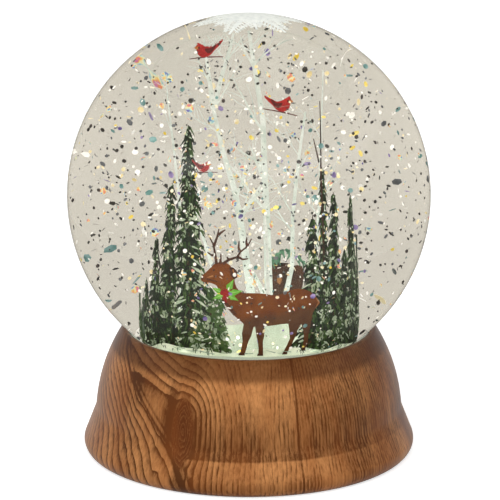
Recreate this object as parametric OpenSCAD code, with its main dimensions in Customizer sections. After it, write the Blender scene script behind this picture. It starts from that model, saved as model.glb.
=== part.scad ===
// Battery-lit swirling snow globe: a liquid-filled clear globe with a printed scene tube inside it,
// on a bell-shaped base that holds the lamp, the stirring motor and the batteries.
// Millimetres. Z is up, the front faces -Y, and the origin is the centre of the underside.

/* [Globe] */
// Outside radius of the clear globe
globe_r = 75; // [72:0.5:78]
// Wall thickness of the globe
globe_wall = 3; // [2.5:0.1:3.5]
// Height of the globe's centre above the table
globe_z = 109; // [108.5:0.5:112]
// Outside radius of the neck under the globe
neck_r = 39; // [38.5:0.1:39.3]
// Radius of the snowflake on top
flake_r = 23.4; // [15:0.2:26]

/* [Scene] */
// Outside radius of the printed scene tube
tube_r = 32.5; // [31:0.5:33]
// Height of the scene tube
tube_h = 93; // [85:1:100]
// Wall thickness of the scene tube
tube_wall = 0.8; // [0.6:0.1:1.2]
// Number of loose glitter flakes
glitter_count = 84; // [24:4:120]

/* [Base] */
// Height of the base's rim
rim_z = 53.3; // [52.5:0.1:53.6]
// Inside radius of the rim
rim_r = 50.7; // [50.6:0.1:51.2]
// Radius of the arc that shapes the bell
bell_r = 70.5; // [70:0.1:71.5]
// Height of the waist where the foot flares out
waist_z = 19; // [17:0.5:21]
// Radius of the round edge of the foot
bulge_r = 5; // [4:0.2:5.4]
// Wall thickness of the base
base_wall = 2.4; // [2:0.1:2.6]
// Height that the rubber feet stand out below the base
foot_gap = 0.6; // [0.4:0.1:0.8]

/* [Battery bay] */
// Length of one AA cell
cell_l = 50.5; // [49.5:0.1:50.5]
// Diameter of one AA cell
cell_d = 14.5; // [13.5:0.1:14.5]
// Spacing between the cells
cell_pitch = 15.2; // [15:0.1:15.3]

/* [Drive] */
// Radius of the motor
motor_r = 12; // [10:0.5:13]
// Radius of the impeller
impeller_r = 14; // [11:0.5:15]
// Number of impeller blades
blade_count = 6; // [3:1:8]

/* [Hidden] */

$fn = 96;
eps = 0.01;
slip = 0.3;

// Base profile: the bell's arc is centred a little past the axis
bell_x = -6.3;
bell_z = 14.3;
flare_angle = 20;
bulge_x = 64.2;
bulge_z = bulge_r;
cover_r = 62.3;
cover_z = 2.2;
cover_t = 2.1;
cover_top = cover_z + cover_t;
ledge_r = 60.5;
ledge_t = 2.2;
post_r = 3.5;
post_ring = 54;
post_top = 36;
foot_ring = 52;
foot_r = 5;

// Battery bay
bay_l = 56;
bay_w = 3 * cell_pitch + 0.4;
bay_wall = 2;
bay_roof = 21.3;
cell_z = 12.25;
door_l = bay_l + 1.6;
door_w = bay_w + 1.6;
tab_w = 12;
tab_l = 7;
door_screw_y = -(bay_w / 2 + bay_wall + 2.4);
contact_t = 0.4;
nub_l = 1.2;

// Rear electronics
switch_y = 40;
switch_travel = 3;
stem_l = 3.4;
slide_l = 8;
slot_l = stem_l + 2 * switch_travel + 0.8;
board_z = 12;
board_y = 38;
board_t = 1.6;
wire_r = 0.6;

// Stack on the axis, from the motor up to the floor of the scene
motor_z0 = 21.8;
motor_z1 = 32.3;
bracket_t = 1.5;
clamp_z = motor_z1 + bracket_t;
plug_z0 = post_top;
plug_z1 = 40.5;
recess_z = 39;
recess_r = 15;
rotor_z0 = 35;
rotor_z1 = 38.6;
rotor_r = 13.5;
shaft_r = 1;
running = 0.05;
impeller_z0 = 41.2;
disc_t = 3.6;
blade_top = 50.5;
hub_top = 51;
neck_in = neck_r - globe_wall;
clamp_ring_r = 31.5;
clamp_in = 27;
clamp_out = 43.5;
bracket_ring = 41;
floor_z = globe_z - 53;
floor_t = 1.6;
skirt_r = 35.3;
flange_t = 2.3;
flange_top = post_top + flange_t;
seat_r = globe_r + 0.4;
led_ring = 45.3;

// Printed art: layers of ink stacked outwards from the tube
ink_t = 0.1;
decal_t = 0.2;

// Points along an arc in the plane
function arc_points(cx, cy, r, a0, a1, n) =
    [for (i = [0:n]) let (a = a0 + (a1 - a0) * i / n) [cx + r * cos(a), cy + r * sin(a)]];

// Radius of the bell's arc, set back by "inset", at height z
function bell_at(z, inset) = bell_x + sqrt(pow(bell_r - inset, 2) - pow(z - bell_z, 2));
function bell_angle(z, inset) = asin((z - bell_z) / (bell_r - inset));

// Height at which the set-back bell arc reaches radius r
function bell_height(r, inset) = bell_z + sqrt(pow(bell_r - inset, 2) - pow(r - bell_x, 2));

// Outside of the base, from the foot up to the rim
function outer_line() = concat(
    arc_points(bulge_x, bulge_z, bulge_r, -asin((bulge_z - foot_gap) / bulge_r), flare_angle, 10),
    arc_points(bell_x, bell_z, bell_r, bell_angle(waist_z, 0), bell_angle(rim_z, 0), 16));

// Inside of the base, from the rim down to the shelf above the cover
function inner_line() = concat(
    [[rim_r, rim_z], [rim_r, bell_height(rim_r, base_wall)]],
    arc_points(bell_x, bell_z, bell_r - base_wall, bell_angle(50, base_wall),
               bell_angle(waist_z, base_wall), 12),
    [[65.4, cover_top + ledge_t + 1.5], [65.4, cover_top + ledge_t], [ledge_r, cover_top + ledge_t],
     [ledge_r, cover_top + 0.1], [cover_r + slip, cover_top + 0.1], [cover_r + slip, foot_gap]]);

module ring(r_out, r_in, z0, z1) {
    translate([0, 0, z0]) difference() {
        cylinder(r = r_out, h = z1 - z0);
        translate([0, 0, -1]) cylinder(r = r_in, h = z1 - z0 + 2);
    }
}

module rod(r, z0, z1) {
    translate([0, 0, z0]) cylinder(r = r, h = z1 - z0);
}

module box(x0, x1, y0, y1, z0, z1) {
    translate([x0, y0, z0]) cube([x1 - x0, y1 - y0, z1 - z0]);
}

// Copies its children around the axis, first at angle "start"
module around(count, radius, start = 0) {
    for (i = [0:count - 1]) rotate([0, 0, start + i * 360 / count]) translate([radius, 0, 0]) children();
}

// A pan-head screw that points up, with a cross slot under its head
module screw(head_r, head_t, shank_r, z_seat, z_tip) {
    difference() {
        union() {
            rod(head_r, z_seat - head_t, z_seat);
            rod(shank_r, z_seat - eps, z_tip);
        }
        for (a = [0, 90]) rotate([0, 0, a]) box(-head_r * 0.6, head_r * 0.6, -0.3, 0.3,
                                                z_seat - head_t - 1, z_seat - head_t * 0.5);
    }
}

// ---- Base ----

// Screw post inside the base, tied to the wall by a rib
module screw_post() {
    difference() {
        union() {
            rod(post_r, cover_top + 0.1, post_top);
            translate([0, 1, 0]) rotate([90, 0, 0]) linear_extrude(2) polygon(concat(
                [[0, post_top - 2], [0, cover_top + 4], [65.6 - post_ring, cover_top + 4]],
                [for (z = [waist_z:4:post_top - 2]) [bell_at(z, 1.2) - post_ring, z]]));
        }
        rod(1.2, cover_top - 1, cover_top + 14);
        rod(1.2, post_top - 10, post_top + 1);
    }
}

module base_shell() {
    color("peru") {
        rotate_extrude($fn = 180) polygon(concat(outer_line(), inner_line()));
        around(4, post_ring, 45) screw_post();
    }
}

module bottom_cover() {
    color("sienna") {
        difference() {
            rod(cover_r, cover_z, cover_top);
            linear_extrude(9) door_outline(slip);
            around(4, post_ring, 45) {
                rod(1.7, 0, 9);
                rod(3.4, 0, cover_z + 0.9);
            }
            around(4, foot_ring) rod(foot_r + 0.1, 0, cover_z + 0.8);
            box(-slot_l / 2, slot_l / 2, switch_y - 2.1, switch_y + 2.1, 0, 9);
        }
        for (x = [-18, 18]) translate([x, board_y + 7, 0]) difference() {
            rod(2.5, cover_top - eps, board_z);
            rod(0.9, board_z - 6, board_z + 1);
        }
    }
}

module rubber_feet() {
    color("dimgray") around(4, foot_ring) rod(foot_r, 0, cover_z + 0.8);
}

module cover_screws() {
    color("silver") around(4, post_ring, 45) screw(3, 0.8, 1.2, cover_z + 0.9, cover_top + 11);
}

// ---- Battery bay ----

module battery_case() {
    color("whitesmoke") difference() {
        union() {
            box(-bay_l / 2 - bay_wall, bay_l / 2 + bay_wall, -bay_w / 2 - bay_wall, bay_w / 2 + bay_wall,
                cover_top, bay_roof);
            translate([0, door_screw_y, 0]) rod(2.8, cover_top, cover_top + 8);
        }
        box(-bay_l / 2, bay_l / 2, -bay_w / 2, bay_w / 2, 0, bay_roof - 1.6);
        translate([0, door_screw_y, 0]) rod(0.75, 0, cover_top + 6);
    }
}

// Places a child on each cell's axis; the middle cell lies the other way round
module each_cell() {
    for (i = [-1:1]) translate([0, i * cell_pitch, cell_z]) mirror([i == 0 ? 1 : 0, 0, 0]) children();
}

cell_end = bay_l / 2 - contact_t - slip;

module battery_contacts() {
    color("gold") each_cell() box(bay_l / 2 - contact_t - eps, bay_l / 2 - eps, -5, 5, -5, 6);
}

// A leaf spring presses on the flat end of each cell
module battery_springs() {
    reach = bay_l - contact_t - 2 * slip - cell_l;
    color("silver") each_cell() translate([-bay_l / 2 + eps, 4, 0]) rotate([90, 0, 0]) linear_extrude(8)
        polygon([[0, -6], [contact_t, -6], [reach, -1], [reach, 1], [contact_t, 5], [contact_t, 6], [0, 6],
                 [0, 4.6], [reach - 0.5, 0.8], [reach - 0.5, -0.8], [0, -5.6]]);
}

module battery_cells() {
    color("darkslategray") each_cell() rotate([0, 90, 0]) {
        rod(cell_d / 2, cell_end - cell_l, cell_end - nub_l);
        rod(2.7, cell_end - nub_l - eps, cell_end);
    }
}

// Outline of the door with its screw tab, grown by "gap" all round
module door_outline(gap) {
    square([door_l + 2 * gap, door_w + 2 * gap], center = true);
    translate([-tab_w / 2 - gap, -door_w / 2 - tab_l - gap]) square([tab_w + 2 * gap, tab_l + gap + 1]);
}

module battery_door() {
    color("sienna") difference() {
        translate([0, 0, cover_z]) linear_extrude(cover_t - 0.1) door_outline(0);
        // Finger dish, then the screw's hole and sunk seat
        translate([0, door_w / 2 - 6, cover_z - 12.8]) sphere(r = 14);
        translate([0, door_screw_y, 0]) {
            rod(0.9, 0, 9);
            rod(2.2, 0, cover_z + 0.9);
        }
    }
}

module door_screw() {
    color("silver") translate([0, door_screw_y, 0]) screw(1.9, 0.8, 0.65, cover_z + 0.9, cover_top + 5);
}

// ---- Rear electronics ----

module circuit_board() {
    color("darkgreen") difference() {
        box(-22, 22, board_y - 10, board_y + 10, board_z, board_z + board_t);
        for (x = [-18, 18]) translate([x, board_y + 7, 0]) rod(1.2, 0, 30);
    }
}

module board_parts() {
    color("black") {
        box(-5, 5, board_y - 4, board_y + 2, board_z + board_t, board_z + board_t + 1.7);
        translate([12, board_y - 4, 0]) rod(3, board_z + board_t, board_z + board_t + 7);
        for (x = [-16, -12.5, -9]) box(x, x + 1.3, board_y - 6, board_y - 3.5,
                                       board_z + board_t, board_z + board_t + 0.6);
    }
}

// A straight length of wire along Y or up Z, run on by its own radius to meet the next length square
module wire(from, to) {
    v = to - from;
    translate(from) rotate([v[1] > 0 ? -90 : 0, 0, 0]) translate([0, 0, -wire_r / 2])
        cylinder(r = wire_r, h = norm(v) + wire_r, $fn = 12);
}

module wiring() {
    board_top = board_z + board_t + wire_r;
    wire_y = board_y - 8.5;
    color("firebrick") {
        for (x = [-3, 3]) {
            wire([x, motor_r + wire_r, 25], [x, wire_y, 25]);
            wire([x, wire_y, board_top], [x, wire_y, 25]);
        }
        for (x = [-19, 19]) {
            wire([x, bay_w / 2 + bay_wall + wire_r, 9], [x, wire_y, 9]);
            wire([x, wire_y, 9], [x, wire_y, board_z - wire_r]);
        }
        for (x = [-1, 1]) wire([x, led_ring, board_top], [x, led_ring, flange_top - wire_r]);
    }
}

module switch_body() {
    color("black") difference() {
        box(-11, 11, switch_y - 5, switch_y + 5, cover_top, cover_top + 5);
        translate([0, switch_y, 0]) box(-slide_l / 2 - switch_travel - 1, slide_l / 2 + switch_travel + 1,
                                        -3.4, 3.4, 0, cover_top + 3);
    }
}

module switch_knob() {
    color("dimgray") {
        box(-slide_l / 2, slide_l / 2, switch_y - 3, switch_y + 3, cover_top + 0.4, cover_top + 2.4);
        box(-stem_l / 2, stem_l / 2, switch_y - 1.8, switch_y + 1.8, 1.2, cover_top + 0.5);
    }
}

// ---- Globe seat and lamp ----

module globe_cradle() {
    color("white") difference() {
        union() {
            ring(57, neck_r + 1, post_top, flange_top);
            ring(neck_r + 3, neck_r + 1, flange_top - eps, rim_z - 4);
            ring(rim_r - 0.4, rim_r - 2.2, flange_top - eps, rim_z - 0.5);
            intersection() {
                translate([0, 0, globe_z]) sphere(r = seat_r + 2, $fn = 180);
                ring(rim_r - 0.4, neck_r + 1, flange_top + 2, rim_z - 0.5);
            }
        }
        translate([0, 0, globe_z]) sphere(r = seat_r, $fn = 180);
        around(4, post_ring, 45) rod(1.6, 30, 50);
        // Way through for the lamp's wires
        translate([0, led_ring, 0]) rod(2, 30, flange_top + 0.5);
    }
}

module cradle_screws() {
    color("silver") around(4, post_ring, 45) translate([0, 0, flange_top]) mirror([0, 0, 1])
        screw(3, 1.6, 1.2, 0, 8);
}

module led_ring_board() {
    color("white") ring(neck_r + 9, neck_r + 3.6, flange_top, flange_top + 1.6);
}

module leds() {
    color("lightyellow") around(8, led_ring, 22.5)
        box(-1.6, 1.6, -1.6, 1.6, flange_top + 1.6, flange_top + 3.4);
}

module clamp_ring() {
    color("gainsboro") difference() {
        ring(clamp_out, clamp_in, clamp_z, post_top);
        around(6, clamp_ring_r) rod(1.7, 30, 40);
        around(3, bracket_ring, 90) rod(0.9, 30, 40);
    }
}

module clamp_screws() {
    color("silver") around(6, clamp_ring_r) screw(2.6, 1.4, 1.4, clamp_z, plug_z1 - 1);
}

// ---- Motor and magnetic drive ----

module motor_bracket() {
    color("gainsboro") difference() {
        union() {
            rod(18, motor_z1, clamp_z);
            for (a = [90, 210, 330]) rotate([0, 0, a]) box(0, clamp_out - 0.5, -5, 5, motor_z1, clamp_z);
        }
        rod(3.3, 30, 40);
        around(3, bracket_ring, 90) rod(1.2, 30, 40);
        around(2, 8) rod(1.2, 30, 40);
    }
}

// Small identical screws: bracket to clamp ring, board to cover
module small_screws() {
    color("silver") {
        around(3, bracket_ring, 90) screw(2, 1.1, 0.9, motor_z1, clamp_z + 2);
        for (x = [-18, 18]) translate([x, board_y + 7, board_z + board_t]) mirror([0, 0, 1])
            screw(2, 1.1, 0.9, 0, 5);
    }
}

module motor() {
    color("lightsteelblue") difference() {
        union() {
            rod(motor_r, motor_z0, motor_z1);
            rod(3, motor_z1 - eps, motor_z1 + 2);
            for (x = [-3, 3]) box(x - 0.8, x + 0.8, 0, motor_r, 24, 24.5);
        }
        rod(shaft_r + running, motor_z0 + 2, motor_z1 + 3);
        around(2, 8) rod(0.8, motor_z1 - 4, motor_z1 + 1);
    }
}

module motor_shaft() {
    color("silver") rod(shaft_r, motor_z0 + 2.3, rotor_z1 - 0.6);
}

module drive_rotor() {
    color("white") difference() {
        rod(rotor_r, rotor_z0, rotor_z1);
        rod(shaft_r, rotor_z0 - 1, rotor_z1 - 0.6);
        around(2, 7.5) rod(3.6, rotor_z1 - 2.6, rotor_z1 + 1);
    }
}

module drive_magnets() {
    color("dimgray") around(2, 7.5) rod(3.5, rotor_z1 - 2.6, rotor_z1);
}

module globe_plug() {
    color("white") difference() {
        rod(neck_in - 0.2, plug_z0, plug_z1);
        rod(recess_r, plug_z0 - 1, recess_z);
        ring(neck_in + 1, neck_in - 2.1, plug_z0 + 1, plug_z1 - 1.1);
        around(6, clamp_ring_r) rod(1.4, plug_z0 - 1, plug_z1 - 1);
        rod(shaft_r, recess_z + 0.6, plug_z1 + 1);
    }
}

module plug_seal() {
    color("black") translate([0, 0, (plug_z0 + plug_z1 - 0.1) / 2]) rotate_extrude()
        translate([neck_in - 1.05, 0]) circle(r = 1, $fn = 24);
}

module impeller_pin() {
    color("silver") {
        rod(shaft_r, recess_z + 0.6, hub_top + 1.2);
        rod(1.8, hub_top + 0.4, hub_top + 1.2);
    }
}

module impeller() {
    disc_top = impeller_z0 + disc_t;
    color("aliceblue") difference() {
        union() {
            rod(impeller_r, impeller_z0, disc_top);
            rod(3.2, impeller_z0, hub_top);
            for (i = [0:blade_count - 1]) rotate([0, 0, i * 360 / blade_count])
                box(2, impeller_r - 0.6, -0.6, 0.6, disc_top - eps, blade_top);
        }
        rod(shaft_r + running, 30, 60);
        ring(11.2, 5, impeller_z0 + 0.8, impeller_z0 + 3);
    }
}

module impeller_magnet() {
    color("dimgray") ring(11.1, 5.1, impeller_z0 + 0.9, impeller_z0 + 2.9);
}

// ---- Globe, liquid and floor ----

module globe_shell() {
    color("azure", 0.3) difference() {
        union() {
            translate([0, 0, globe_z]) sphere(r = globe_r, $fn = 180);
            rod(neck_r, post_top, rim_z);
        }
        translate([0, 0, globe_z]) sphere(r = globe_r - globe_wall, $fn = 180);
        rod(neck_in, 30, globe_z - 50);
    }
}

module liquid_fill() {
    color("aliceblue", 0.2) difference() {
        translate([0, 0, globe_z]) sphere(r = globe_r - globe_wall - 0.1, $fn = 180);
        rod(neck_in + 0.2, 20, floor_z);
        rod(neck_in + 2, 20, floor_z - 8);
    }
}

// Lit white floor on a skirt, with a jet hole and return holes for the liquid
module snow_floor() {
    color("white") difference() {
        rod(skirt_r, plug_z1, floor_z);
        rod(skirt_r - 1.8, plug_z1 - 1, floor_z - floor_t);
        rod(9, 30, 70);
        around(8, 22) rod(3, 30, 70);
    }
}

module scene_tube() {
    color("azure", 0.3) ring(tube_r, tube_r - tube_wall, floor_z, floor_z + tube_h);
}

// ---- Printed art on the tube ----

// Lays the children, drawn flat as (across, height), on the tube at "angle" from the front, "layer" inks out
module on_tube(angle, layer) {
    r = tube_r + layer * ink_t;
    intersection() {
        ring(r + ink_t, r, floor_z, floor_z + tube_h);
        rotate([0, 0, angle]) rotate([90, 0, 0]) linear_extrude(tube_r + 5) children();
    }
}

// A tapered stroke of ink from a to b
module stroke(a, b, wa, wb) {
    d = (b - a) / norm(b - a);
    side = [-d[1], d[0]];
    polygon([a + side * wa / 2, b + side * wb / 2, b - side * wb / 2, a - side * wa / 2]);
}

// Chord that stands over an arc of length s on the tube
function chord(s) = tube_r * sin(s / tube_r * 180 / PI);

// One side of a pine: each tier of boughs steps in under the tier above, then droops out to its tips
function pine_side(w, h, tiers) = [for (i = [0:tiers - 1], tip = [0, 1])
    let (reach = w / 2 * (i + 1) / tiers, drop = 0.92 * h * (i + tip) / tiers)
    tip == 0 ? [reach * 0.45, h - drop - 0.4] : [reach, h - drop]];

module pine(w, h, tiers) {
    right = pine_side(w, h, tiers);
    polygon(concat([[0, h + 2]], right, [[0.8, h * 0.09], [0.8, 0], [-0.8, 0], [-0.8, h * 0.09]],
                   [for (i = [len(right) - 1:-1:0]) [-right[i][0], right[i][1]]]));
}

// Angle round the tube, ink layer, width, height and tiers of each pine
pines = [[-50, 1, 25, 86, 10], [-74, 2, 24, 60, 8], [-14.5, 2, 8, 22, 5], [49, 1, 18, 89, 11],
         [76, 2, 26, 56, 8], [112, 1, 20, 66, 9], [-116, 1, 22, 62, 9], [-142, 2, 14, 38, 6],
         [138, 2, 12, 32, 5]];

module pine_art() {
    color("darkgreen") for (p = pines) on_tube(p[0], p[1]) translate([0, floor_z + 1]) pine(p[2], p[3], p[4]);
}

// A bare birch: a trunk with forked limbs that rise to either side
module birch(h, w, lean, forks) {
    stroke([0, 0], [lean, h], w, w * 0.35);
    for (k = [0:forks - 1]) {
        t = 0.35 + 0.55 * k / forks;
        side = k % 2 == 0 ? 1 : -1;
        root = [lean * t, h * t];
        tip = root + [side * (9 - 5 * t), 17 - 9 * t];
        stroke(root, tip, w * 0.45 * (1.3 - t), 0.35);
        stroke((root + tip) / 2, (root + tip) / 2 + [side * 1.2, 6], w * 0.25, 0.3);
    }
}

module birch_art() {
    color("honeydew") {
        on_tube(176, 0) translate([0, floor_z + 1]) birch(91, 4.2, -1, 7);
        on_tube(166, 0) translate([0, floor_z + 1]) birch(64, 3.2, -2.5, 5);
        on_tube(-166, 0) translate([0, floor_z + 1]) birch(86, 3, 3, 6);
        on_tube(148, 0) translate([0, floor_z + 1]) birch(72, 2.6, 2, 5);
        on_tube(8, 0) translate([0, floor_z + 1]) birch(72, 2.4, -1.5, 5);
    }
}

// Drifted snow along the foot of the scene, in two halves around the tube
module snowbank_art() {
    color("snow") for (a = [0, 180]) on_tube(a, 3) polygon(concat(
        [[-tube_r - 1, floor_z], [tube_r + 1, floor_z]],
        [for (i = [12:-1:-12]) [i / 12 * (tube_r + 1), floor_z + 2.2 + 1.1 * sin(i * 47 + a)]]));
}

function body_points() = [
    [-16.6, 87], [-13.2, 91.6], [-11, 93.6], [-7.6, 94], [-5.2, 92], [-4.4, 86], [-2.6, 82.6], [4.5, 82.2],
    [8.5, 81.2], [15.7, 83.2], [19.5, 82.8], [23.5, 80.6], [26, 77.2], [23.8, 75.4], [22.6, 70], [17, 69.8],
    [13, 70.4], [4, 69.8], [-1, 69.6], [-2.6, 71.6], [-5.6, 74.2], [-8.4, 77.6], [-10, 81], [-11.4, 85],
    [-15.6, 86.2]];

function leg_points() = [
    [[-1.8, 72], [1.6, 71], [-1.2, 61.2], [-2.2, 57.2], [-3.8, 57.2], [-3.2, 61.5]],
    [[1.4, 71], [5.6, 71], [4.9, 61], [4.9, 56.8], [3, 56.8], [3.2, 61]],
    [[13.6, 71.5], [18.6, 70.6], [16.4, 62.5], [13.9, 57], [12.2, 57], [14.4, 62.6]],
    [[18.4, 71], [23.2, 73], [21.8, 64], [21, 58.4], [19.4, 58.4], [20.2, 64]]];

function antler_points() = [
    [[-9.5, 93], [-11.3, 97]], [[-11.3, 97], [-11.6, 99.6]], [[-11.6, 99.6], [-9.4, 103.6]],
    [[-11.6, 99.6], [-14, 101.8]], [[-11, 95.8], [-15, 96.6]], [[-6.4, 93], [-1.6, 95.2]],
    [[-1.6, 95.2], [0.4, 98]], [[0.4, 98], [2.6, 101.4]], [[0, 97.4], [-0.6, 101.8]],
    [[-1.6, 95.2], [2.2, 94.8]]];

// The stag stands on the front of the tube and faces left
module deer_art() {
    color("saddlebrown") on_tube(0, 4) {
        polygon([for (p = body_points()) [chord(p[0]), p[1]]]);
        for (leg = leg_points()) polygon([for (p = leg) [chord(p[0]), p[1]]]);
        for (s = antler_points()) stroke([chord(s[0][0]), s[0][1]], [chord(s[1][0]), s[1][1]], 1, 0.6);
    }
}

// The doe lies on the back of the tube, behind the stag
module doe_art() {
    color("sienna") on_tube(163, 4) {
        polygon([[-9, 75], [-7, 79.4], [-1, 80.6], [3, 80], [4.6, 84], [5, 87.6], [7, 88.4], [10, 86.2],
                 [10, 85.2], [7.8, 84.8], [7.6, 80], [7, 74.6], [4, 72.6], [-6, 72.4]]);
        for (x = [-7, -5, 3, 5.4]) stroke([x, 73.4], [x - 0.4, 60.5], 1.6, 1);
    }
}

// Holly leaves and berries around the stag's neck
module holly_art() {
    color("limegreen") on_tube(-14, 5) for (a = [20, 75, 130, 200, 340])
        translate([0, 82]) rotate(a) polygon([[0.6, 0], [2, 1], [3.2, 0.5], [4.6, 0.7], [6, 0], [4.6, -0.7],
                                              [3.2, -0.5], [2, -1]]);
}

module cardinal() {
    polygon([[-3.2, 2.4], [-2.2, 3.4], [-0.8, 2.4], [1.4, 1.2], [4.6, 1.6], [7, 2.6], [5, 0.6], [2.4, -0.4],
             [0.6, -1.8], [-1.4, -1.6], [-2.8, 0]]);
}

module cardinal_art() {
    color("crimson") {
        on_tube(-164, 3) translate([0, floor_z + 87]) mirror([1, 0]) cardinal();
        on_tube(163, 3) translate([0, floor_z + 70.5]) cardinal();
        on_tube(-28, 3) translate([0, floor_z + 71]) cardinal();
    }
}

// ---- Loose glitter and top decal ----

// Six-sided flakes spread evenly through the liquid between the tube and the globe
module glitter_flakes() {
    golden_turn = 137.508;
    span = globe_r - globe_wall - 4;
    near = tube_r + 3;
    color("plum") for (i = [1:glitter_count]) {
        up = -0.6 + 1.1 * i / (glitter_count + 1);
        out = near + (span * sqrt(1 - up * up) - near) * ((i * 5) % 11) / 11;
        rotate([0, 0, i * golden_turn]) translate([out, 0, globe_z + up * span]) rotate([i * 53, i * 29, 0])
            cylinder(r = 1.1, h = 0.2, $fn = 6);
    }
}

module snowflake_arm() {
    stroke([0, 0], [0, flake_r], 2.2, 0.8);
    for (k = [0:3], side = [-1, 1]) {
        y = flake_r * (0.25 + 0.17 * k);
        stroke([0, y], [side * (6.4 - k), y + 6.4 - k], 1.4, 0.7);
    }
}

module snowflake_decal() {
    color("white") intersection() {
        translate([0, 0, globe_z]) difference() {
            sphere(r = globe_r + decal_t, $fn = 180);
            sphere(r = globe_r, $fn = 180);
        }
        translate([0, 0, globe_z + 40]) linear_extrude(60) {
            for (a = [0:5]) rotate(a * 60 + 20) snowflake_arm();
            for (a = [0:5]) rotate(a * 60 + 50) stroke([0, 0], [0, flake_r * 0.72], 1.8, 0.7);
        }
    }
}

base_shell();
bottom_cover();
rubber_feet();
cover_screws();
battery_case();
battery_contacts();
battery_springs();
battery_cells();
battery_door();
door_screw();
circuit_board();
board_parts();
wiring();
switch_body();
switch_knob();
globe_cradle();
cradle_screws();
led_ring_board();
leds();
clamp_ring();
clamp_screws();
motor_bracket();
small_screws();
motor();
motor_shaft();
drive_rotor();
drive_magnets();
globe_plug();
plug_seal();
impeller_pin();
impeller();
impeller_magnet();
globe_shell();
liquid_fill();
snow_floor();
scene_tube();
birch_art();
pine_art();
snowbank_art();
deer_art();
doe_art();
holly_art();
cardinal_art();
glitter_flakes();
snowflake_decal();
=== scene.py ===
"""The looks of a lit, swirling snow globe: a wood-look base, a clear globe full of liquid and glitter,
a tube printed with a winter wood inside it, and a snowflake on top.

The scene is in metres. The drawing helpers take millimetres. A chip is a paint chip's red, green and blue.
"""

import math
import random

import bmesh
import bpy
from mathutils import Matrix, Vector


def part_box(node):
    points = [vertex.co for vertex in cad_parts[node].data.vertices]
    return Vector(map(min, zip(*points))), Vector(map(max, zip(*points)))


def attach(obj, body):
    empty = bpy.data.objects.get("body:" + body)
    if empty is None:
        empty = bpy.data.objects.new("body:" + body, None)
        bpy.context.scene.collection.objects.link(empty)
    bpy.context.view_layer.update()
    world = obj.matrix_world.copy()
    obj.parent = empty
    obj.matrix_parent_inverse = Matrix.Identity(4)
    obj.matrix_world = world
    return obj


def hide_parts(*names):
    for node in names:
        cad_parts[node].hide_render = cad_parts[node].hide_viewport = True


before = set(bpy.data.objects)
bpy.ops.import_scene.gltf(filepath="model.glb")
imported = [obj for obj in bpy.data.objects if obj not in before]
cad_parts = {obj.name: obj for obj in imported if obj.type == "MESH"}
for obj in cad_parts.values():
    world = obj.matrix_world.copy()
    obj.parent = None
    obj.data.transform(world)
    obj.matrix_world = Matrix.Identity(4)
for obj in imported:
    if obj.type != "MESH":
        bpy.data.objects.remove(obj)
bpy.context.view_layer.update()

MM = 0.001
WHITE = (1, 1, 1, 1)

# ---- Sizes taken from the frame, in mm ----

GLOBE_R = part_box("globe_shell")[1].x / MM
GLOBE_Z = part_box("globe_shell")[1].z / MM - GLOBE_R
NECK_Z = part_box("globe_shell")[0].z / MM
GLOBE_WALL = 3.0
NECK_R = 39.0
TUBE_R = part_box("scene_tube")[1].x / MM
TUBE_WALL = 0.8
TUBE_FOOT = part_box("scene_tube")[0].z / MM
TUBE_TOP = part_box("scene_tube")[1].z / MM
FLOOR_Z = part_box("snow_floor")[1].z / MM
RIM_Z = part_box("base_shell")[1].z / MM
FOOT_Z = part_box("base_shell")[0].z / MM
DECAL_T = 0.2
INK = 0.05


# ---- Building materials ----

def paint(red, green, blue):
    """A paint chip's colour, 0 to 255, as the linear colour that shaders use."""
    shares = [c / 255 for c in (red, green, blue)]
    return (*[c / 12.92 if c <= 0.04 else ((c + 0.055) / 1.055) ** 2.4 for c in shares], 1.0)


def darker(colour, share):
    return (*[c * share for c in colour[:3]], 1.0)


def fill(tree, socket, value):
    """Links a socket or a Num to an input, or sets the input's own value."""
    if isinstance(value, Num):
        tree.links.new(value.socket, socket)
    elif isinstance(value, bpy.types.NodeSocket):
        tree.links.new(value, socket)
    else:
        socket.default_value = value


def add(tree, kind, inputs=None, **settings):
    """Adds a node. inputs holds sockets to link or values to set, by name or number."""
    node = tree.nodes.new(kind)
    for name, value in settings.items():
        setattr(node, name, value)
    for name, value in (inputs or {}).items():
        fill(tree, node.inputs[name], value)
    return node


class Num:
    """A number that varies over a surface. Arithmetic on it adds Math nodes."""

    def __init__(self, tree, socket):
        self.tree = tree
        self.socket = socket

    def op(self, operation, *others):
        node = add(self.tree, "ShaderNodeMath", operation=operation)
        for socket, value in zip(node.inputs, (self, *others)):
            fill(self.tree, socket, value)
        return Num(self.tree, node.outputs[0])

    def __add__(self, other):
        return self.op("ADD", other)

    def __sub__(self, other):
        return self.op("SUBTRACT", other)

    def __mul__(self, other):
        return self.op("MULTIPLY", other)

    def __truediv__(self, other):
        return self.op("DIVIDE", other)

    def step(self, low, high):
        """0 below low, 1 above high, smooth between."""
        node = add(self.tree, "ShaderNodeMapRange",
                   {"Value": self, "From Min": low, "From Max": high}, interpolation_type="SMOOTHSTEP")
        return Num(self.tree, node.outputs["Result"])

    def between(self, none, full, fading, gone):
        """1 from full to fading, and 0 before none and after gone."""
        return self.step(none, full) * self.step(gone, fading)


def position(tree):
    """The point on the surface, in mm, as three Nums."""
    coordinates = add(tree, "ShaderNodeTexCoord")
    scaled = add(tree, "ShaderNodeVectorMath", {0: coordinates.outputs["Object"], "Scale": 1 / MM},
                 operation="SCALE")
    parts = add(tree, "ShaderNodeSeparateXYZ", {0: scaled.outputs[0]})
    return [Num(tree, socket) for socket in parts.outputs]


def noise(tree, x, y, z, scale, detail=2.0, roughness=0.5):
    """Smooth noise, about 0.5, with features of 1 / scale mm."""
    point = add(tree, "ShaderNodeCombineXYZ", {0: x, 1: y, 2: z})
    node = add(tree, "ShaderNodeTexNoise",
               {"Vector": point.outputs[0], "Scale": scale, "Detail": detail, "Roughness": roughness})
    return Num(tree, node.outputs["Fac"])


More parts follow.
